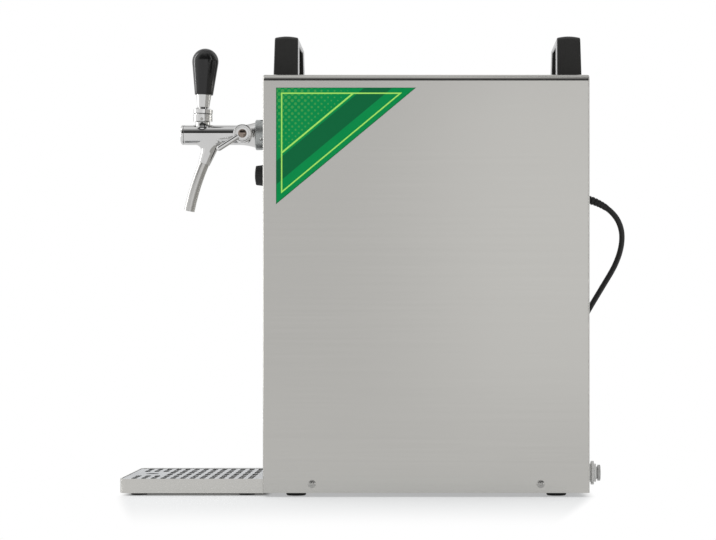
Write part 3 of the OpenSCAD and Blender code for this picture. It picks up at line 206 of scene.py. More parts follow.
def makeSurfaceGroup(name, fineDetail, cloudScale, weights):
    # weights: how far fine, middle and cloud noise reach into tone, roughness and height
    tree, given, result = newGroup(name, [
        ("Dark Colour", "NodeSocketColor", (0.4, 0.4, 0.4, 1)),
        ("Light Colour", "NodeSocketColor", (0.5, 0.5, 0.5, 1)),
        ("Grain", "NodeSocketVector", (1, 1, 1)),
        ("Roughness", "NodeSocketFloat", 0.4),
        ("Roughness Change", "NodeSocketFloat", 0.1),
    ], [("Colour", "NodeSocketColor"), ("Roughness", "NodeSocketFloat"), ("Height", "NodeSocketFloat")])
    calc = calculator(tree)
    place = objectPlace(tree)
    stretched = addNode(tree, "ShaderNodeVectorMath", operation="MULTIPLY", Vector=place)
    tree.links.new(given.outputs["Grain"], stretched.inputs[1])
    wider = addNode(tree, "ShaderNodeVectorMath", operation="SCALE", Vector=stretched.outputs[0],
                    Scale=grainNoise["middleScale"])
    noises = (centredNoise(tree, stretched.outputs[0], 1.0, fineDetail, grainNoise["roughness"]),
              centredNoise(tree, wider.outputs[0], 1.0, grainNoise["middleDetail"], grainNoise["roughness"]),
              centredNoise(tree, place, cloudScale, grainNoise["cloudDetail"], grainNoise["cloudRoughness"]))

    def weighed(use):
        parts = [calc("MULTIPLY", noise, share) for noise, share in zip(noises, weights[use])]
        return calc("ADD", calc("ADD", parts[0], parts[1]), parts[2])

    tone = calc("ADD", weighed("tone"), 0.5, clamp=True)
    colour = mixed(tree, "RGBA", tone, given.outputs["Dark Colour"], given.outputs["Light Colour"])
    swing = calc("MULTIPLY", weighed("rough"), given.outputs["Roughness Change"])
    roughness = calc("ADD", swing, given.outputs["Roughness"], clamp=True)
    tree.links.new(colour, result.inputs["Colour"])
    tree.links.new(roughness, result.inputs["Roughness"])
    tree.links.new(weighed("height"), result.inputs["Height"])
    return tree


brushedSheet = makeSurfaceGroup("brushedSheet", fineDetail=3.0, cloudScale=7.0, weights={
    "tone": (1.1, 1.0, 0.9), "rough": (0.6, 1.0, 1.6), "height": (0.7, 0.5, 0.0)})
polishedMetal = makeSurfaceGroup("polishedMetal", fineDetail=2.0, cloudScale=35.0, weights={
    "tone": (0.2, 0.4, 1.4), "rough": (0.4, 0.8, 2.0), "height": (0.0, 0.2, 1.0)})
mouldedGrain = makeSurfaceGroup("mouldedGrain", fineDetail=3.0, cloudScale=22.0, weights={
    "tone": (0.5, 0.7, 1.4), "rough": (0.6, 0.8, 1.6), "height": (1.0, 0.5, 0.1)})


def grey(level, warm=0.0, greenShare=0.25):        # a warm grey loses blue, and a share of that in green
    return (level, level * (1 - greenShare * warm), level * (1 - warm))


def surfaceMaterial(name, group, dark, light, grain, rough, roughChange, bump, specular=0.5, metallic=0.0):
    material, tree, shader = newMaterial(name)
    values = {"Dark Colour": dark + (1,), "Light Colour": light + (1,), "Roughness": rough,
              "Roughness Change": roughChange, "Grain": grain if isinstance(grain, tuple) else (grain,) * 3}
    surface = addNode(tree, "ShaderNodeGroup", node_tree=group, **values)
    bumped = addNode(tree, "ShaderNodeBump", Strength=1.0, Distance=bump * mm,
                     Height=surface.outputs["Height"])
    given = {"Base Color": surface.outputs["Colour"], "Roughness": surface.outputs["Roughness"],
             "Normal": bumped.outputs[0], "Metallic": metallic, "Specular IOR Level": specular}
    for key, value in given.items():
        feed(tree, shader.inputs[key], value)
    return material


# metals: group, dark and light tone, grain per metre, roughness, its change, bump in mm
# brushed sheet has long grain along the axis with few grains
metalFinish = {
    "casingSteel": (brushedSheet, grey(0.545, 0.06), grey(0.575, 0.06), (1400, 9, 1400), 0.17, 0.04, 0.0005),
    "panelSteel": (brushedSheet, grey(0.53, 0.06), grey(0.57, 0.06), (1400, 1400, 9), 0.3, 0.02, 0.0003),
    "traySteel": (brushedSheet, grey(0.62, 0.06), grey(0.66, 0.06), (1400, 9, 1400), 0.22, 0.05, 0.0005),
    "gridSteel": (brushedSheet, (0.36, 0.375, 0.39), (0.43, 0.445, 0.46), (1300, 9, 1300), 0.3, 0.14, 0.001),
    "satinRing": (polishedMetal, (0.44, 0.46, 0.455), (0.5, 0.52, 0.515), 600, 0.4, 0.1, 0.005),
    "zincSheet": (polishedMetal, grey(0.36), (0.5, 0.51, 0.53), 300, 0.42, 0.2, 0.02),
    "screwSteel": (polishedMetal, grey(0.4, 0.05), grey(0.55, 0.05), 900, 0.3, 0.15, 0.01),
    "chromePlate": (polishedMetal, grey(0.68, 0.01), grey(0.76, 0.01), 400, 0.07, 0.05, 0.002),
    "satinChrome": (polishedMetal, grey(0.7, 0.01), grey(0.78, 0.01), 500, 0.2, 0.06, 0.002),
    "spoutSteel": (polishedMetal, grey(0.55, 0.04), grey(0.62, 0.04), 500, 0.16, 0.05, 0.002),
    "screwBronze": (polishedMetal, (0.26, 0.21, 0.18), (0.36, 0.3, 0.26), 900, 0.13, 0.06, 0.004),
    "copperTube": (polishedMetal, (0.5, 0.2, 0.1), (0.72, 0.36, 0.2), 300, 0.3, 0.2, 0.01),
    "castAluminium": (mouldedGrain, grey(0.48), grey(0.6), 600, 0.5, 0.2, 0.05),
}
# plastics, rubber and paint: tones, grain per metre, roughness, its change, bump in mm, specular level
plainFinish = {
    "handlePlastic": (grey(0.02, 0.05), grey(0.027, 0.05), 1500, 0.15, 0.05, 0.003, 0.3),
    "gripPlastic": (grey(0.006), grey(0.009), 500, 0.17, 0.05, 0.002, 0.5),
    "knobPlastic": (grey(0.01), grey(0.016), 1200, 0.42, 0.1, 0.03, 0.35),
    "blackRubber": (grey(0.01), grey(0.02), 900, 0.7, 0.15, 0.06, 0.3),
    "cordSheath": (grey(0.011), grey(0.019), 700, 0.52, 0.12, 0.03, 0.35),
    "blackEnamel": (grey(0.01), grey(0.02), 250, 0.3, 0.15, 0.06, 0.5),
    "whiteNylon": (grey(0.66, 0.06), grey(0.76, 0.04), 900, 0.42, 0.12, 0.03, 0.5),
    "paleAcetal": (grey(0.62, 0.03), grey(0.72, 0.03), 900, 0.4, 0.12, 0.03, 0.5),
    "greyAcetal": (grey(0.38, 0.03), grey(0.46, 0.03), 900, 0.4, 0.12, 0.03, 0.5),
    "rigidFoam": ((0.66, 0.58, 0.36), (0.8, 0.73, 0.5), 350, 0.85, 0.1, 0.3, 0.5),
    "hoseWall": ((0.6, 0.63, 0.66), (0.7, 0.73, 0.76), 300, 0.25, 0.1, 0.01, 0.5),
}
finish = {name: surfaceMaterial(name, *values, metallic=1.0) for name, values in metalFinish.items()}
for name, values in plainFinish.items():
    finish[name] = surfaceMaterial(name, mouldedGrain, *values)

# printed film on the near side: bands along its slope, an inset line, and dots that shrink from the corner
labelPrint = {
    "corner": (-83.7, 409.4), "length": 140.0, "height": 116.5, "inset": 5.0, "line": 1.3, "edge": 0.6,
    "green": (0.0, 0.225, 0.057, 1), "deep": (0.004, 0.125, 0.042, 1), "lime": (0.36, 0.74, 0.13, 1),
    "toneGain": 1.12, "toneLift": 0.004, "cloudScale": 30.0, "cloudDetail": 2.0,
    "band": (15.0, 33.0), "bandLine": (35.0, 36.6),
    "dotPitch": 4.6, "dotSize": 2.0, "dotReach": 96.0, "dotClear": 2.0, "dotShade": 0.14,
    "film": {"Grain": (200, 200, 200), "Roughness": 0.5, "Roughness Change": 0.1}, "specular": 0.06,
}


def makeLabelPrint():
    material, tree, shader = newMaterial("labelPrint")
    calc = calculator(tree)
    place = objectPlace(tree)
    split = addNode(tree, "ShaderNodeSeparateXYZ", Vector=place)
    length, height, inset = labelPrint["length"], labelPrint["height"], labelPrint["inset"]
    along = calc("SUBTRACT", calc("DIVIDE", split.outputs["Y"], mm), labelPrint["corner"][0])
    down = calc("SUBTRACT", labelPrint["corner"][1], calc("DIVIDE", split.outputs["Z"], mm))
    slope = sqrt(length ** 2 + height ** 2)
    across = calc("ADD", calc("MULTIPLY", along, height / slope), calc("MULTIPLY", down, length / slope))
    fromSlope = calc("SUBTRACT", length * height / slope, across)        # distance in from the sloping edge
    fromEdge = calc("MINIMUM", calc("MINIMUM", along, down), fromSlope)

    def between(value, low, high):
        return calc("MULTIPLY", calc("GREATER_THAN", value, low), calc("LESS_THAN", value, high))

    def inCell(value):        # distance from the middle of a dot's cell
        cell = calc("FRACT", calc("DIVIDE", value, labelPrint["dotPitch"]))
        return calc("ABSOLUTE", calc("MULTIPLY", calc("SUBTRACT", cell, 0.5), labelPrint["dotPitch"]))

    def distance(first, second):
        return calc("SQRT", calc("ADD", calc("POWER", first, 2.0), calc("POWER", second, 2.0)))

    diagonals = [calc("MULTIPLY", calc(sign, along, down), sqrt(0.5)) for sign in ("ADD", "SUBTRACT")]
    fromDot = distance(*[inCell(value) for value in diagonals])
    fromCorner = distance(*[calc("MAXIMUM", value, 0.0) for value in (along, down)])
    shrink = calc("SUBTRACT", 1.0, calc("DIVIDE", fromCorner, labelPrint["dotReach"]))
    dotted = calc("LESS_THAN", fromDot, calc("MULTIPLY", shrink, labelPrint["dotSize"]))
    clear = calc("GREATER_THAN", fromSlope, labelPrint["bandLine"][1] + labelPrint["dotClear"])
    dots = calc("MULTIPLY", calc("MULTIPLY", dotted, clear), labelPrint["dotShade"])
    inside = calc("GREATER_THAN", fromEdge, inset)
    bandLine = calc("MULTIPLY", between(fromSlope, *labelPrint["bandLine"]), inside)
    lines = calc("MAXIMUM", between(fromEdge, inset, inset + labelPrint["line"]), bandLine)
    cloud = addNode(tree, "ShaderNodeTexNoise", Vector=place, Scale=labelPrint["cloudScale"],
                    Detail=labelPrint["cloudDetail"])
    pale = tuple(min(1, c * labelPrint["toneGain"] + labelPrint["toneLift"]) for c in labelPrint["green"])
    ink = mixed(tree, "RGBA", cloud.outputs[0], labelPrint["green"], pale)
    for mask, colour in ((between(fromSlope, *labelPrint["band"]), "deep"), (dots, "lime"),
                         (calc("LESS_THAN", fromEdge, labelPrint["edge"]), "deep"), (lines, "lime")):
        ink = mixed(tree, "RGBA", mask, ink, labelPrint[colour])
    film = addNode(tree, "ShaderNodeGroup", node_tree=mouldedGrain, **labelPrint["film"])
    tree.links.new(ink, shader.inputs["Base Color"])
    tree.links.new(film.outputs["Roughness"], shader.inputs["Roughness"])
    shader.inputs["Specular IOR Level"].default_value = labelPrint["specular"]
    return material


finish["labelFilm"] = makeLabelPrint()

nodeFinish = {
    "casingSteel": ["casing_wrap"],
    "panelSteel": ["front_panel", "rear_panel"],
    "traySteel": ["drip_tray"],
    "gridSteel": ["drip_grid"],
    "zincSheet": ["base_pan", "block_shelf", "fan_shroud", "condenser_fins", "compressor_base"],
    "screwSteel": ["sheet_screws", "machine_screws", "shank_locknut", "lever_pin", "valve_plunger",
                   "thermostat_shaft"],
    "satinRing": ["coupling_ring"],
    "chromePlate": ["tap_body", "tap_end_cap", "tap_shank", "lever_stem", "handle_ferrule",
                    "compensator_lever"],
    "satinChrome": ["lever_bonnet"],
    "spoutSteel": ["tap_spout"],
    "screwBronze": ["compensator_screw"],
    "handlePlastic": ["front_carry_handle", "rear_carry_handle"],
    "gripPlastic": ["handle_grip"],
    "knobPlastic": ["thermostat_knob"],
    "blackRubber": ["rubber_feet", "tray_pads", "compressor_grommets", "plunger_seal"],
    "labelFilm": ["side_label"],
    "blackEnamel": ["compressor_shell", "fan_motor"],
    "whiteNylon": ["fan_rotor", "thermostat_body", "terminal_block", "compensator_cone"],
    "paleAcetal": ["inlet_union", "inlet_nut"],
    "greyAcetal": ["inlet_collet"],
    "copperTube": ["condenser_coil", "filter_drier", "discharge_pipe", "capillary_pipe", "suction_pipe",
                   "thermostat_capillary"],
    "castAluminium": ["cooling_block"],
    "rigidFoam": ["block_insulation"],
    "hoseWall": ["inlet_hose", "outlet_hose"],
    "cordSheath": ["supply_lead", "cord_gland", "power_cord", "cord_coil", "coil_tie", "mains_plug"],
}
for finishName, names in nodeFinish.items():
    for name in names:
        nodes[name].data.materials.clear()
        nodes[name].data.materials.append(finish[finishName])
print("finishes:", len(nodeFinish), "on", sum(len(names) for names in nodeFinish.values()), "nodes")

# mains cord: leaves the rear panel, falls behind the casing and lies in a tied coil on the far side
cord = {
    "diameter": 6.0, "bevelSteps": 5, "exit": (-40.0, 233.8, 305.0),
    "route": [(0, 0, 0), (0, 7, 0), (0, 19, -5), (-1, 29, -12), (-4, 36.5, -21), (-10, 41, -32),
              (-18, 42, -44), (-28, 40, -57), (-39, 35, -71), (-50, 27, -86), (-60, 18, -102), (-69, 8, -120),
              (-76, -1, -139), (-81, -9, -160), (-84, -15, -183), (-86, -20, -207), (-87, -27, -231),
              (-88, -36, -254), (-88, -48, -274), (-88, -63, -290), (-88, -80, -299), (-88, -98, -301)],
    "coilRadius": 47.0, "turns": 7, "climbTurns": 0.5, "gap": 0.7, "tail": 20.0, "stepsPerTurn": 24,
}


def halfwayPoints(points):        # adds a smooth point between each two, by the four-point rule
    last = len(points) - 1
    result = []
    for i, p in enumerate(points[:-1]):
        before, after = points[max(i - 1, 0)], points[min(i + 2, last)]
        result += [p, (9 * (p + points[i + 1]) - before - after) / 16]
    return result + [points[last]]


def cordPoints():
    exitPoint = Vector(cord["exit"])
    free = halfwayPoints(halfwayPoints([exitPoint + Vector(p) for p in cord["route"]]))
    turns, climbTurns = cord["turns"], cord["climbTurns"]
    step = cord["diameter"] + cord["gap"]
    centre = free[-1] - Vector((cord["coilRadius"], cord["diameter"], 0))
    coil = []
    for i in range(cord["stepsPerTurn"] * turns + 1):
        u = i / cord["stepsPerTurn"]
        radius = cord["coilRadius"] - step * min(u, turns - u)
        climb = max(0, min(1, (u - turns / 2 + climbTurns / 2) / climbTurns))
        coil.append(centre + Vector((radius * cos(-2 * pi * u), radius * sin(-2 * pi * u), step * climb)))
    return free, coil + [coil[-1] - Vector((0, cord["tail"], 0))]


freeCord, coiledCord = cordPoints()


def makeCord():
    line = freeCord + coiledCord
    curve = bpy.data.curves.new("mainsCord", "CURVE")
    curve.dimensions = "3D"
    curve.bevel_depth = cord["diameter"] / 2 * mm
    curve.bevel_resolution = cord["bevelSteps"]
    curve.use_fill_caps = True
    spline = curve.splines.new("POLY")
    spline.points.add(len(line) - 1)
    for point, p in zip(spline.points, line):
        point.co = (*(p * mm), 1)
    spline.use_smooth = True
    curve.materials.append(finish["cordSheath"])
    mainsCord = linked("mainsCord", curve)
    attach(mainsCord, "cabinet")
    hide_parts("power_cord", "cord_coil")
    length = sum((b - a).length for a, b in zip(line, line[1:])) * mm
    Vector(cord["exit"]) * mm
    print("cord:", round(length, 3), "m")


makeCord()

# ribbed strain relief on the cord where it leaves the rear panel
relief = {"length": 27.0, "thick": 4.9, "thin": 3.3, "rib": 3.6, "groove": 1.2, "deep": 0.45, "step": 0.6,
          "sides": 28}


def makeRelief():
    path = [freeCord[0]]
    for a, b in zip(freeCord, freeCord[1:]):
        pieces = max(1, round((b - a).length / relief["step"]))
        path += [a.lerp(b, (i + 1) / pieces) for i in range(pieces)]
    sides, points, along = relief["sides"], [], 0.0
    for i, p in enumerate(path):
        last = path[max(i - 1, 0)]
        along += (p - last).length
        if along > relief["length"]:
            break
        radius = relief["thick"] + (relief["thin"] - relief["thick"]) * along / relief["length"]
        if along > relief["rib"] and along % relief["rib"] < relief["groove"]:
            radius -= relief["deep"] * (radius - cord["diameter"] / 2)
        ahead = (path[i + 1] - last).normalized()
        across = (Vector((1, 0, 0)) - ahead * ahead.x).normalized()
        other = ahead.cross(across)
        for k in range(sides):
            a = 2 * pi * k / sides
            points.append(p + radius * (cos(a) * across + sin(a) * other))
    addMesh("cordRelief", points, cappedRings(len(points) // sides, sides), finish["cordSheath"], "cabinet",
            "cord_sheath", sharpAngle=30)


makeRelief()

# round-ended steel pins on the plug, which lies past the cord's end with its pins upward
plugPins = {"radius": 2.45, "reach": 19.0, "apart": 9.5, "sunk": 1.0, "tipArc": (10, 86, 6), "sides": 24,
            "plugTop": 24.0, "plugWidth": 37.0, "plugRound": 3.0, "sleeve": 34.0}


def makePlugPins():
    r, top = plugPins["radius"], plugPins["plugTop"]
    tip = top + plugPins["reach"] - r
    profile = [(r, top - plugPins["sunk"]), (r, tip)] + roundArc((0, tip), r, *plugPins["tipArc"])
    middle = plugPins["sleeve"] + plugPins["plugWidth"] / 2 - plugPins["plugRound"]
    parts = []
    for side in (-1, 1):
        place = (coiledCord[-1].x + side * plugPins["apart"], coiledCord[-1].y - middle, 0)
        parts.append(turnedRings(profile, plugPins["sides"], Matrix.Translation(place)))
    addMesh("plugPins", *joined(parts), finish["screwSteel"], "cabinet", "screw_steel", sharpAngle=30)


makePlugPins()

# casing: one folded sheet, swept along the box with rounded front and rear folds
casing = {"half": 106.5, "front": -97.0, "rear": 230.0, "bottom": 4.0, "top": 423.0, "sheet": 1.0,
          "bend": 7.0, "leastBend": 1.0, "bendSteps": 10, "fold": 1.8, "foldSteps": 5, "returnWidth": 9.0}


def archLine(inset):        # front view of the wrap, from the lower right round to the lower left
    half, top = casing["half"] - inset, casing["top"] - inset
    radius = max(casing["bend"] - inset, casing["leastBend"])
    right = roundArc((half - radius, top - radius), radius, 0, 90, casing["bendSteps"])
    line = [(half, casing["bottom"])] + right
    return line + [(-x, z) for x, z in reversed(line)]


def makeCasing():
    front, rear, sheet, fold = casing["front"], casing["rear"], casing["sheet"], casing["fold"]
    width, steps = casing["returnWidth"], casing["foldSteps"]
    section = [(front + sheet, width), (front, width)]
    section += [(front + fold + a, fold + b) for a, b in roundArc((0, 0), fold, 180, 270, steps)]
    section += [(rear - fold + a, fold + b) for a, b in roundArc((0, 0), fold, 270, 360, steps)]
    section += [(rear, width), (rear - sheet, width), (rear - sheet, sheet), (front + sheet, sheet)]
    points, faces = [], []
    for y, inset in section:
        points += [(x, y, z) for x, z in archLine(inset)]
    rows, count = len(section), len(archLine(0))
    for i in range(rows):
        n = (i + 1) % rows
        for k in range(count - 1):
            faces.append((i * count + k, i * count + k + 1, n * count + k + 1, n * count + k))
    for k in (0, count - 1):
        faces.append(tuple(i * count + k for i in range(rows)))
    piece = addMesh("foldedCasing", points, faces, finish["casingSteel"], "cabinet", "casing_steel",
                    sharpAngle=50)
    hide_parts("casing_wrap")


makeCasing()

# carry handles: a bridge with leaning posts, a crowned grip bar and softened edges
handle = {"length": 138.0, "width": 25.0, "topWidth": 23.9, "height": 44.5, "crown": 1.2, "post": 26.0,
          "bar": 7.0, "lean": 13.0, "roundOut": 5.0, "roundIn": 5.0, "roundSteps": 8, "edge": 1.5,
          "edgeSteps": 5, "crownSteps": 8, "places": {"front": -76.5, "rear": 212.0}}


def handleOutline(inset, drop):        # front view (x, height), drawn in by an inset and lowered at the top
    slope = handle["lean"] / handle["height"]
    skew, tilt = sqrt(1 + slope ** 2), degrees(atan(slope))
    half, gap = handle["length"] / 2 - inset * skew, handle["length"] / 2 - handle["post"] + inset * skew
    top, under = handle["height"] - drop - inset, handle["height"] - handle["bar"] + inset
    out, inn, steps = handle["roundOut"] - inset, handle["roundIn"] + inset, handle["roundSteps"]
    outMiddle = (half - slope * (top - out) - out * skew, top - out)
    inMiddle = (gap - slope * (under - inn) - inn * skew, under - inn)
    outer = [(half, 0)] + roundArc(outMiddle, out, tilt, 90, steps)
    inner = roundArc(inMiddle, inn, 90, tilt, steps) + [(gap, 0)]
    return outer + [(-x, z) for x, z in reversed(outer)] + [(-x, z) for x, z in reversed(inner)] + inner


def makeHandle(side, y0):
    edge, steps, crownSteps = handle["edge"], handle["edgeSteps"], handle["crownSteps"]
    turns = [pi / 2 * i / steps for i in range(steps, 0, -1)]
    rounds = [(edge * sin(a), edge * (1 - cos(a))) for a in turns]
    cuts = [(-1, beyond, inset) for beyond, inset in rounds]
    cuts += [(2 * i / crownSteps - 1, 0, 0) for i in range(crownSteps + 1)]
    cuts += [(1, beyond, inset) for beyond, inset in reversed(rounds)]
    points = []
    for share, beyond, inset in cuts:
        for x, z in handleOutline(inset, handle["crown"] * share ** 2):
            width = handle["width"] + (handle["topWidth"] - handle["width"]) * z / handle["height"]
            points.append((x, y0 + share * (width / 2 - edge + beyond), casing["top"] + z))
    count = len(points) // len(cuts)
    faces = ringQuads(len(cuts), count)
    for start in (0, len(points) - count):        # the two sides, as strips between the outer and inner lines
        for i in range(count // 2 - 1):
            faces.append(tuple(start + k for k in (i, i + 1, count - 2 - i, count - 1 - i)))
    piece = addMesh(side + "Handle", points, faces, finish["handlePlastic"], "cabinet", "black_plastic",
                    sharpAngle=40)
    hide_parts(side + "_carry_handle")


for side, y0 in handle["places"].items():
    makeHandle(side, y0)
print("casing and handles made")

# cross-head screws in the casing, the panels and the feet, turned unlike on the two sides
screw = {"shank": 2.0, "length": 7.0, "head": 4.0, "undercut": 0.1, "rim": 0.5, "height": 2.1, "domeSteps": 8,
         "sides": 32, "cross": (0.65, 2.1), "deep": 1.6, "turned": {1: 51, -1: -11},
         "places": [((106.5, y, 13.0), (1, 0, 0)) for y in (-48.0, 181.0)]
         + [((80.3, -95.8, z), (0, -1, 0)) for z in (27.0, 199.2)]
         + [((44.0, 228.8, z), (0, 1, 0)) for z in (27.0, 199.2)]
         + [((80.5, y, 2.6), (0, 0, -1)) for y in (-65.0, 198.0)]}


def screwProfile(size, tip=0.1):        # (radius, height) of a shank and a domed head, up to a small flat tip
    head, rim, high, steps = size["head"], size["rim"], size["height"], size["domeSteps"]
    profile = [(size["shank"], -size["length"]), (size["shank"], 0), (head - size["undercut"], 0)]
    ball = (head ** 2 + (high - rim) ** 2) / (2 * (high - rim))
    for k in range(steps, 0, -1):
        radius = head * k / steps
        profile.append((radius, high - ball + sqrt(ball ** 2 - radius ** 2)))
    return profile + [(tip, high)]


def slottedHead(size, slots, cutAbove=1.0):        # a screw about Z with straight slots cut in its head
    blank = linked("screwBlank", newMesh("screwBlank", *turnedRings(screwProfile(size), size["sides"])))
    low, high = size["height"] - size["deep"], size["height"] + cutAbove
    cutters = []
    for wide, far in slots:
        corners = [(-wide, -far), (wide, -far), (wide, far), (-wide, far)]
        points = [(x, y, z) for z in (low, high) for x, y in corners]
        cutters.append(linked("screwSlot", newMesh("screwSlot", points, cappedRings(2, len(corners)))))
        groove = blank.modifiers.new("groove", "BOOLEAN")
        groove.operation = "DIFFERENCE"
        groove.object = cutters[-1]
    done = modifiedMesh(blank)
    for piece in [blank] + cutters:
        bpy.data.objects.remove(piece)
    return [v.co / mm for v in done.vertices], [tuple(f.vertices) for f in done.polygons]


def makeScrews():
    wide, far = screw["cross"]
    points, faces = slottedHead(screw, [(wide, far), (far, wide)])
    parts = []
    for (x, y, z), (ax, ay, az) in screw["places"]:
        for side, turned in screw["turned"].items():
            seat = alongAxis((side * x, y, z), (side * ax, ay, az))
            parts.append((placed(points, seat @ Matrix.Rotation(radians(turned), 4, "Z")), faces))
    piece = addMesh("crossHeadScrews", *joined(parts), finish["screwSteel"], "cabinet", "screw_steel",
                    sharpAngle=30)
    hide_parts("sheet_screws")


makeScrews()

# thermostat dial: fine flutes, a domed face and a white pointer line
dial = {"height": 328.6, "radius": 11.0, "bore": 3.2, "skirt": 5.6, "chamfer": 0.3, "skirtTop": 7.1,
        "reach": 16.0, "corner": 1.1, "cornerMiddle": (9.1, 13.8), "cornerArc": (4, 76, 6),
        "faceRadius": 38.0, "faceStops": (8.0, 6.0, 4.0, 2.0, 0.3), "flutes": 40, "fluteDepth": 0.25,
        "fluteInner": 9.5, "fluteStart": 6.6, "sides": 240}
pointer = {"start": 3.5, "end": 9.0, "half": 0.7, "sunk": 0.4, "proud": 0.08, "steps": 6}


def dialFace(radius):        # height of the domed face
    return dial["reach"] - dial["faceRadius"] + sqrt(dial["faceRadius"] ** 2 - radius ** 2)


def makeDial():
    r, skirt, chamfer = dial["radius"], dial["skirt"], dial["chamfer"]
    profile = [(dial["bore"], skirt), (r - chamfer, skirt), (r, skirt + chamfer), (r, dial["skirtTop"])]
    profile += roundArc(dial["cornerMiddle"], dial["corner"], *dial["cornerArc"])
    profile += [(k, dialFace(k)) for k in dial["faceStops"]]
    points, faces = turnedRings(profile, dial["sides"])
    for p in points:
        if p.xy.length > dial["fluteInner"] and p.z > dial["fluteStart"]:
            wave = (1 + cos(dial["flutes"] * p.xy.angle_signed(Vector((1, 0))))) / 2
            p.xy *= 1 - dial["fluteDepth"] * wave / r
    outward = alongAxis((0, casing["front"], dial["height"]), (0, -1, 0))
    piece = addMesh("thermostatDial", placed(points, outward), faces, finish["knobPlastic"],
                    "thermostat_knob", "black_plastic", sharpAngle=40)
    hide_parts("thermostat_knob")


def makePointer():
    half, steps = pointer["half"], pointer["steps"]
    ribbon = []
    for i in range(steps + 1):
        k = pointer["start"] + (pointer["end"] - pointer["start"]) * i / steps
        low, high = dialFace(k) - pointer["sunk"], dialFace(k) + pointer["proud"]
        ring = [(-half, low), (half, low), (half, high), (-half, high)]
        ribbon += [(x, casing["front"] - h, dial["height"] + k) for x, h in ring]
    addMesh("dialPointer", ribbon, cappedRings(steps + 1, 4), finish["whiteNylon"], "thermostat_knob",
            "white_plastic", sharpAngle=30)


makeDial()
makePointer()
print("screws and dial made")

# tap: pieces stand in its own frame, t ahead of the casing's front edge and h above its axis
tap = {"height": 371.0, "barrel": 10.5, "lever": 70.5, "reach": 93.3, "cap": 3.3, "spindle": 27.5,
       "flange": 14.1, "flangeEnds": (7.5, 12.0), "flare": 13.5, "flareEnds": (15.0, 31.0), "flareCurve": 1.7,
       "flareSteps": 12, "boss": 9.35, "bossEnd": 15.0,
       "neck": [(9.3, 0), (9.3, 7.2), (8.4, 8.9), (7.7, 10.8), (7.5, 13.9)],
       "branchEnd": (69.3, -30.3), "branchTilt": 23.0, "branchLength": 26.0, "branch": (7.85, 6.25),
       "barrelSides": 72, "sides": 64, "voxel": 0.45, "ease": 14, "easeFactor": 0.5}
# web between barrel and branch: its hollows stand at t from the branch's end and drop below the barrel
web = {"depths": (9.3, 6.4), "steps": 24, "sides": 40,
       "rear": {"t": -24.9, "drop": 15.9, "radius": 16.0, "turn": tap["branchTilt"], "steps": 14},
       "front": {"t": 9.0, "drop": 5.9, "radius": 6.0, "turn": 195, "steps": 10}}


def tapPoint(t, h, x=0.0):
    return Vector((x, casing["front"] - t, tap["height"] + h))


def chainAt(chain, height):        # t of a falling line of (t, h) points at a height
    for (t0, h0), (t1, h1) in zip(chain, chain[1:]):
        if h1 <= height <= h0 and h0 > h1:
            return t0 + (t1 - t0) * (h0 - height) / (h0 - h1)
    return chain[-1][0]


def webLine(side, sign):        # (t, h) from the barrel, round a hollow, to one side of the branch's end
    endT, endH = tap["branchEnd"]
    tilt, radius = radians(tap["branchTilt"]), tap["branch"][1]
    middle = (endT + side["t"], -tap["barrel"] - side["drop"])
    hollow = roundArc(middle, side["radius"], 90, side["turn"], side["steps"])
    end = (endT + sign * radius * cos(tilt), endH + sign * radius * sin(tilt))
    return [(middle[0], -tap["barrel"] / 2)] + hollow + [end]


def webLoft():        # round-edged flare that joins the barrel to the branch
    behind, ahead = webLine(web["rear"], -1), webLine(web["front"], 1)
    top, bottom = ahead[0][1], ahead[-1][1]
    wide, narrow = web["depths"]
    points = []
    for i in range(web["steps"] + 1):
        share = i / web["steps"]
        h = top + (bottom - top) * share
        t0, t1 = chainAt(behind, h), chainAt(ahead, h)
        depth = wide + (narrow - wide) * share
        for k in range(web["sides"]):
            a = 2 * pi * k / web["sides"]
            points.append(tapPoint((t0 + t1) / 2 + (t1 - t0) / 2 * cos(a), h, depth * sin(a)))
    return points, cappedRings(web["steps"] + 1, web["sides"])


def castingParts():
    r, flare, sides = tap["barrel"], tap["flare"], tap["sides"]
    start, end = tap["flareEnds"]
    profile = [(tap["flange"], t) for t in tap["flangeEnds"]] + [(flare, tap["flangeEnds"][1])]
    for i in range(tap["flareSteps"] + 1):
        share = i / tap["flareSteps"]
        profile.append((r + (flare - r) * (1 - share) ** tap["flareCurve"], start + (end - start) * share))
    profile.append((r, tap["reach"] - tap["cap"]))
    barrel = turnedRings(profile, tap["barrelSides"], alongAxis(tapPoint(0, 0), (0, -1, 0)))
    bossProfile = [(tap["boss"], 0), (tap["boss"], tap["bossEnd"])]
    boss = turnedRings(bossProfile, sides, alongAxis(tapPoint(tap["spindle"], 0), (1, 0, 0)))
    neck = turnedRings(tap["neck"], sides, alongAxis(tapPoint(tap["lever"], 0), (0, 0, 1)))
    tilt = radians(tap["branchTilt"])
    down = Vector((0, -sin(tilt), -cos(tilt)))
    branchTop = tapPoint(*tap["branchEnd"]) - down * tap["branchLength"]
    branchProfile = [(tap["branch"][0], 0), (tap["branch"][1], tap["branchLength"])]
    branch = turnedRings(branchProfile, sides, alongAxis(branchTop, down))
    return [barrel, boss, neck, branch, webLoft()]


def makeTapBody():        # the parts become one skin with eased joints
    blank = linked("castingBlank", newMesh("castingBlank", *joined(castingParts())))
    skin = blank.modifiers.new("oneSkin", "REMESH")
    skin.mode = "VOXEL"
    skin.voxel_size = tap["voxel"] * mm
    skin.use_smooth_shade = True
    ease = blank.modifiers.new("fillets", "SMOOTH")
    ease.factor = tap["easeFactor"]
    ease.iterations = tap["ease"]
    solid = modifiedMesh(blank)
    bpy.data.objects.remove(blank)
    solid.name = "tapCasting"
    piece = addPiece("tapCasting", solid, finish["chromePlate"], "cabinet", "chrome", sharpAngle=60)
    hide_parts("tap_body")


makeTapBody()

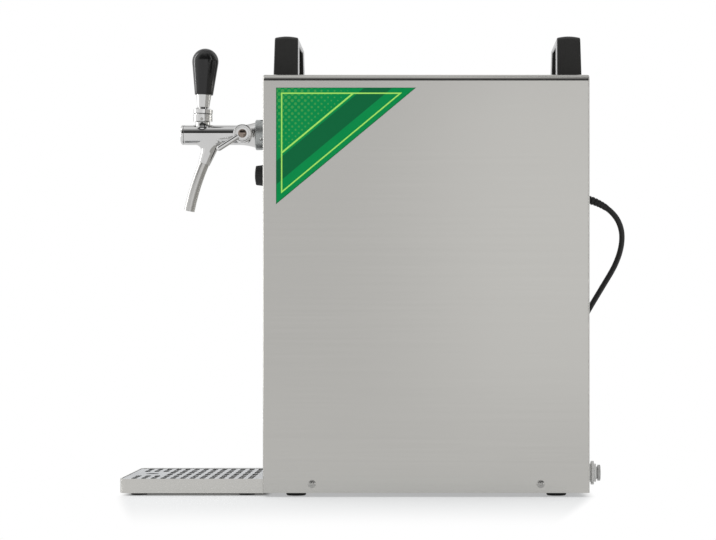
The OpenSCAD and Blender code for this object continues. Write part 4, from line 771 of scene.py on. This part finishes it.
# black socket screw in the lever's neck
setScrew = {"radius": 2.6, "chamfer": 0.3, "length": 2.5, "socket": 1.2, "depth": 1.2, "h": 10.0, "x": 8.0,
            "sides": 24}


def makeSetScrew():
    r, hole, chamfer = setScrew["radius"], setScrew["socket"], setScrew["chamfer"]
    profile = [(r, -setScrew["length"]), (r, -chamfer), (r - chamfer, 0), (hole, 0),
               (hole, -setScrew["depth"])]
    seat = alongAxis(tapPoint(tap["lever"], setScrew["h"], setScrew["x"]), (1, 0, 0))
    addMesh("leverSetScrew", *turnedRings(profile, setScrew["sides"], seat), finish["knobPlastic"], "cabinet",
            "black_plastic", sharpAngle=30)


makeSetScrew()

# lever grip: a turned handle with a rounded head
grip = {"pivot": (0.0, -167.5, 387.0), "lean": 2.5, "start": 25.8, "bore": 3.2, "base": 9.6, "foot": 0.7,
        "footStep": 0.2, "round": 13.75, "length": 48.7, "taper": 6, "taperSteps": 8, "headArc": (-2, 88, 26),
        "sides": 96}


def makeGrip():
    base, foot, step, ball = grip["base"], grip["foot"], grip["footStep"], grip["round"]
    head, taper, steps = grip["length"] - ball, radians(grip["taper"]), grip["taperSteps"]
    profile = [(grip["bore"], 0), (base - foot, 0), (base - step, step)]
    wide, high = ball * cos(taper), head - ball * sin(taper)
    profile += [(base + (wide - base) * i / steps, foot + (high - foot) * i / steps)
                for i in range(steps + 1)]
    profile += roundArc((0, head), ball, *grip["headArc"])
    lever = Matrix.Translation(grip["pivot"]) @ Matrix.Rotation(radians(-grip["lean"]), 4, "X")
    rings = turnedRings([(r, h + grip["start"]) for r, h in profile], grip["sides"], lever)
    piece = addMesh("leverGrip", *rings, finish["gripPlastic"], "tap_lever", "black_plastic", sharpAngle=40)
    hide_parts("handle_grip")


makeGrip()

# compensator handle: a rimmed hub with a groove, a round rod with a ball end, and a slotted screw
compensator = {"t": 27.5, "bore": 4.0, "inner": 15.3, "face": 20.3, "hub": 9.85, "rim": 1.5, "rimSteps": 8,
               "groove": (7.45, 6.75), "deep": 0.9, "lip": (0.3, 0.1, 0.4), "hubSides": 96, "rod": 2.9,
               "rodStart": 5.3, "rodEnd": 31.5, "rodInset": 1.0, "drop": 32.5, "ballArc": (0, 88, 10),
               "rodSides": 40}
hubScrew = {"shank": 2.5, "length": 7.0, "head": 4.5, "undercut": 0.0, "rim": 0.5, "height": 2.0,
            "domeSteps": 8, "sides": 48, "slot": (0.6, 5.5), "deep": 0.8}


def makeCompensator():
    c = compensator
    face, rim, floor = c["face"], c["rim"], c["face"] - c["deep"]
    outer, inner = c["groove"]
    wide, top, low = c["lip"]
    profile = [(c["bore"], c["inner"]), (c["hub"], c["inner"])]
    profile += roundArc((c["hub"] - rim, face - rim), rim, 0, 90, c["rimSteps"])
    profile += [(outer + wide, face - top), (outer, face - low), (outer, floor), (inner, floor),
                (inner, face - low), (inner - wide, face - top), (c["bore"], face)]
    hub = turnedRings(profile, c["hubSides"], alongAxis(tapPoint(c["t"], 0), (1, 0, 0)))
    drop = radians(c["drop"])
    rodAxis = alongAxis(tapPoint(c["t"], 0, face - c["rodInset"]), (0, -cos(drop), -sin(drop)))
    ball = roundArc((0, c["rodEnd"] - c["rod"]), c["rod"], *c["ballArc"])
    rod = turnedRings([(c["rod"], c["rodStart"])] + ball, c["rodSides"], rodAxis)
    piece = addMesh("compensatorHandle", *joined([hub, rod]), finish["chromePlate"], "compensator_lever",
                    "chrome", sharpAngle=40)
    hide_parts("compensator_lever")
    points, faces = slottedHead(hubScrew, [hubScrew["slot"]])
    seat = alongAxis(tapPoint(c["t"], 0, face), (1, 0, 0))
    piece = addMesh("compensatorScrew", placed(points, seat), faces, finish["screwBronze"],
                    "compensator_lever", "screw_steel", sharpAngle=30)
    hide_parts("compensator_screw")


makeCompensator()
print("tap made")

# studio, in metres: white floor and surround, soft lamps, and a shaded room seen only in mirroring faces
# the room's sides have (height of a direction, level), its bands and soft boxes two turns and a strength
studio = {
    "ambient": 0.8, "floorSize": 4.0, "floorDrop": 0.0002, "floorTone": (0.93, 0.945, 0.955),
    # painted shadow and painted light on the floor: near the object its glow is dimmed, and a share of glow
    # lifts the real shade
    "floorMirror": 0.8, "mirrorLift": 0.25, "shadeBox": (0.1, 0.226, -0.004), "shadeReach": (0.36, 0.016),
    "shadeTaper": 0.15, "paintedLightLift": 0.5, "paintedShadeTone": 0.78,
    "trayShade": (0.06, 0.1), "trayEnd": (-0.1, -0.09),
    "lamps": [("overLamp", (0.5, -0.3, 2.2), (0.0, 0.05, 0.2), 1.8, 14.0),
              ("sideLamp", (2.2, -1.6, 1.3), (0.0, 0.05, 0.22), 1.2, 8.0)],
    "nearSide": [(0.0, 0.86), (0.14, 0.89), (0.22, 0.93), (0.31, 0.1), (0.36, 0.02), (0.5, 0.02),
                 (0.64, 0.08), (0.77, 0.2), (0.88, 0.45), (0.96, 0.85), (1.0, 0.85)],
    "farSide": [(0.0, 1.0), (0.3, 1.0), (0.6, 0.95), (0.85, 0.8), (0.97, 0.7), (1.0, 0.7)],
    "sideBlend": (-0.15, 0.05), "rearward": (-0.1, 0.1, 0.91, 1.08), "leftward": (-40, -75, 0.95),
    "bands": [(28, 45, 0.12), (97, 108, 0.3), (138, 163, 0.45), (-165, -148, 0.6)], "bandEdge": 3,
    "softBoxes": [(-112, -103, 6.0), (60, 66, 2.5)], "softBoxTop": (0.85, 0.6),
}


def easedStep(tree, value, low, high):        # 0 at one value, 1 at another
    limits = {"From Min": low, "From Max": high}
    step = addNode(tree, "ShaderNodeMapRange", interpolation_type="SMOOTHSTEP", Value=value, **limits)
    return step.outputs[0]


def easedBand(tree, turn, low, high):        # 1 between two turns in degrees
    calc, edge = calculator(tree), radians(studio["bandEdge"])
    rise, fall = [easedStep(tree, turn, radians(d) - edge, radians(d) + edge) for d in (low, high)]
    return calc("MULTIPLY", rise, calc("SUBTRACT", 1.0, fall))


def makeFloor():
    material, tree, shader = newMaterial("studioWhite")
    tree.nodes.remove(shader)
    calc = calculator(tree)
    path = addNode(tree, "ShaderNodeLightPath")
    mirrored = path.outputs["Is Glossy Ray"]
    x, y = addNode(tree, "ShaderNodeSeparateXYZ", Vector=objectPlace(tree)).outputs[:2]
    halfX, halfY, middleY = studio["shadeBox"]

    def beyond(value, middle, halfWidth):
        return calc("SUBTRACT", calc("ABSOLUTE", calc("SUBTRACT", value, middle)), halfWidth)

    def squared(value, reach):
        return calc("POWER", calc("MAXIMUM", calc("DIVIDE", value, reach), 0.0), 2.0)

    ahead = calc("MAXIMUM", beyond(x, 0.0, halfX), 0.0)
    aside = calc("ADD", beyond(y, middleY, halfY), calc("MULTIPLY", ahead, studio["shadeTaper"]))
    reachX, reachY = studio["shadeReach"]
    away = calc("SQRT", calc("ADD", squared(ahead, reachX), squared(aside, reachY)))
    fade = easedStep(tree, away, 0.0, 1.0)        # 0 by the object, 1 where its shade ends
    level = calc("ADD", calc("MULTIPLY", mirrored, studio["floorMirror"] - 1), 1.0)
    # painted shadow: the floor's glow is dimmed towards the object
    tone = calc("ADD", calc("MULTIPLY", fade, 1 - studio["paintedShadeTone"]), studio["paintedShadeTone"])
    clear = calc("MAXIMUM", easedStep(tree, calc("ABSOLUTE", x), *studio["trayShade"]),
                 easedStep(tree, y, *studio["trayEnd"]))        # 0 under the tray, where the floor stays dark
    # painted light: near the object a share of glow lifts the matt floor's real shade, except under the tray
    lift = calc("MULTIPLY", clear, studio["paintedLightLift"])
    white = calc("ADD", calc("MULTIPLY", fade, calc("SUBTRACT", 1.0, lift)), lift)
    white = calc("MAXIMUM", white, calc("MULTIPLY", mirrored, studio["mirrorLift"]))
    seen = calc("MAXIMUM", calc("MAXIMUM", path.outputs["Is Camera Ray"], mirrored),
                path.outputs["Is Transmission Ray"])
    matt = addNode(tree, "ShaderNodeBsdfDiffuse", Color=studio["floorTone"] + (1,))
    glow = addNode(tree, "ShaderNodeEmission", Color=(1, 1, 1, 1), Strength=calc("MULTIPLY", level, tone))
    mix = tree.nodes.new("ShaderNodeMixShader")
    for socket, value in zip(mix.inputs, (calc("MULTIPLY", seen, white), matt.outputs[0], glow.outputs[0])):
        tree.links.new(value, socket)
    tree.links.new(mix.outputs[0], tree.nodes["Material Output"].inputs[0])
    half, drop = studio["floorSize"], studio["floorDrop"]
    mesh = bpy.data.meshes.new("studioFloor")
    corners = [(-half, -half, -drop), (half, -half, -drop), (half, half, -drop), (-half, half, -drop)]
    mesh.from_pydata(corners, [], [(0, 1, 2, 3)])
    mesh.materials.append(material)
    linked("studioFloor", mesh)


def heightProfile(tree, height, stops):
    ramp = addNode(tree, "ShaderNodeValToRGB", Fac=height)
    elements = ramp.color_ramp.elements
    while len(elements) < len(stops):
        elements.new(0.5)
    for element, (position, level) in zip(elements, stops):
        element.position = position
        element.color = (level, level, level, 1)
    return ramp.outputs[0]


def mirroredRoom(tree):        # brightness by direction: height profiles, dark bands and two soft boxes
    calc = calculator(tree)
    direction = addNode(tree, "ShaderNodeTexCoord").outputs["Generated"]
    x, y, z = addNode(tree, "ShaderNodeSeparateXYZ", Vector=direction).outputs
    turn = calc("ARCTAN2", y, x)
    lean = addNode(tree, "ShaderNodeMapRange", clamp=True, Value=turn)
    for key, value in zip(("From Min", "From Max", "To Min", "To Max"), studio["rearward"]):
        lean.inputs[key].default_value = value
    near = calc("MULTIPLY", heightProfile(tree, z, studio["nearSide"]), lean.outputs[0])
    fromTurn, toTurn, leftLevel = studio["leftward"]
    near = mixed(tree, "FLOAT", easedStep(tree, turn, radians(fromTurn), radians(toTurn)), near, leftLevel)
    far = heightProfile(tree, z, studio["farSide"])
    level = mixed(tree, "FLOAT", easedStep(tree, x, *studio["sideBlend"]), far, near)
    for low, high, share in studio["bands"]:
        dim = calc("MULTIPLY", easedBand(tree, turn, low, high), 1 - share)
        level = calc("MULTIPLY", level, calc("SUBTRACT", 1.0, dim))
    upright = easedStep(tree, z, *studio["softBoxTop"])
    for low, high, power in studio["softBoxes"]:
        glow = calc("MULTIPLY", easedBand(tree, turn, low, high), power)
        level = calc("ADD", level, calc("MULTIPLY", glow, upright))
    return level


def makeSurround():
    world = bpy.data.worlds.new("studioSurround")
    world.use_nodes = True
    scene.world = world
    tree = world.node_tree
    tree.nodes.clear()
    path = addNode(tree, "ShaderNodeLightPath")
    plain = calculator(tree)("MAXIMUM", path.outputs["Is Camera Ray"], path.outputs["Is Transmission Ray"])
    level = mixed(tree, "FLOAT", plain, studio["ambient"], 1.0)
    level = mixed(tree, "FLOAT", path.outputs["Is Glossy Ray"], level, mirroredRoom(tree))
    light = addNode(tree, "ShaderNodeBackground", Color=(1, 1, 1, 1), Strength=level)
    addNode(tree, "ShaderNodeOutputWorld", Surface=light.outputs[0])


def makeLamps():
    for name, place, target, size, power in studio["lamps"]:
        lamp = bpy.data.lights.new(name, "AREA")
        lamp.shape = "SQUARE"
        lamp.size = size
        lamp.energy = power
        piece = linked(name, lamp)
        piece.visible_glossy = False
        piece.location = place
        piece.rotation_euler = (Vector(target) - Vector(place)).to_track_quat("-Z", "Y").to_euler()


makeFloor()
makeSurround()
makeLamps()
print("studio made")
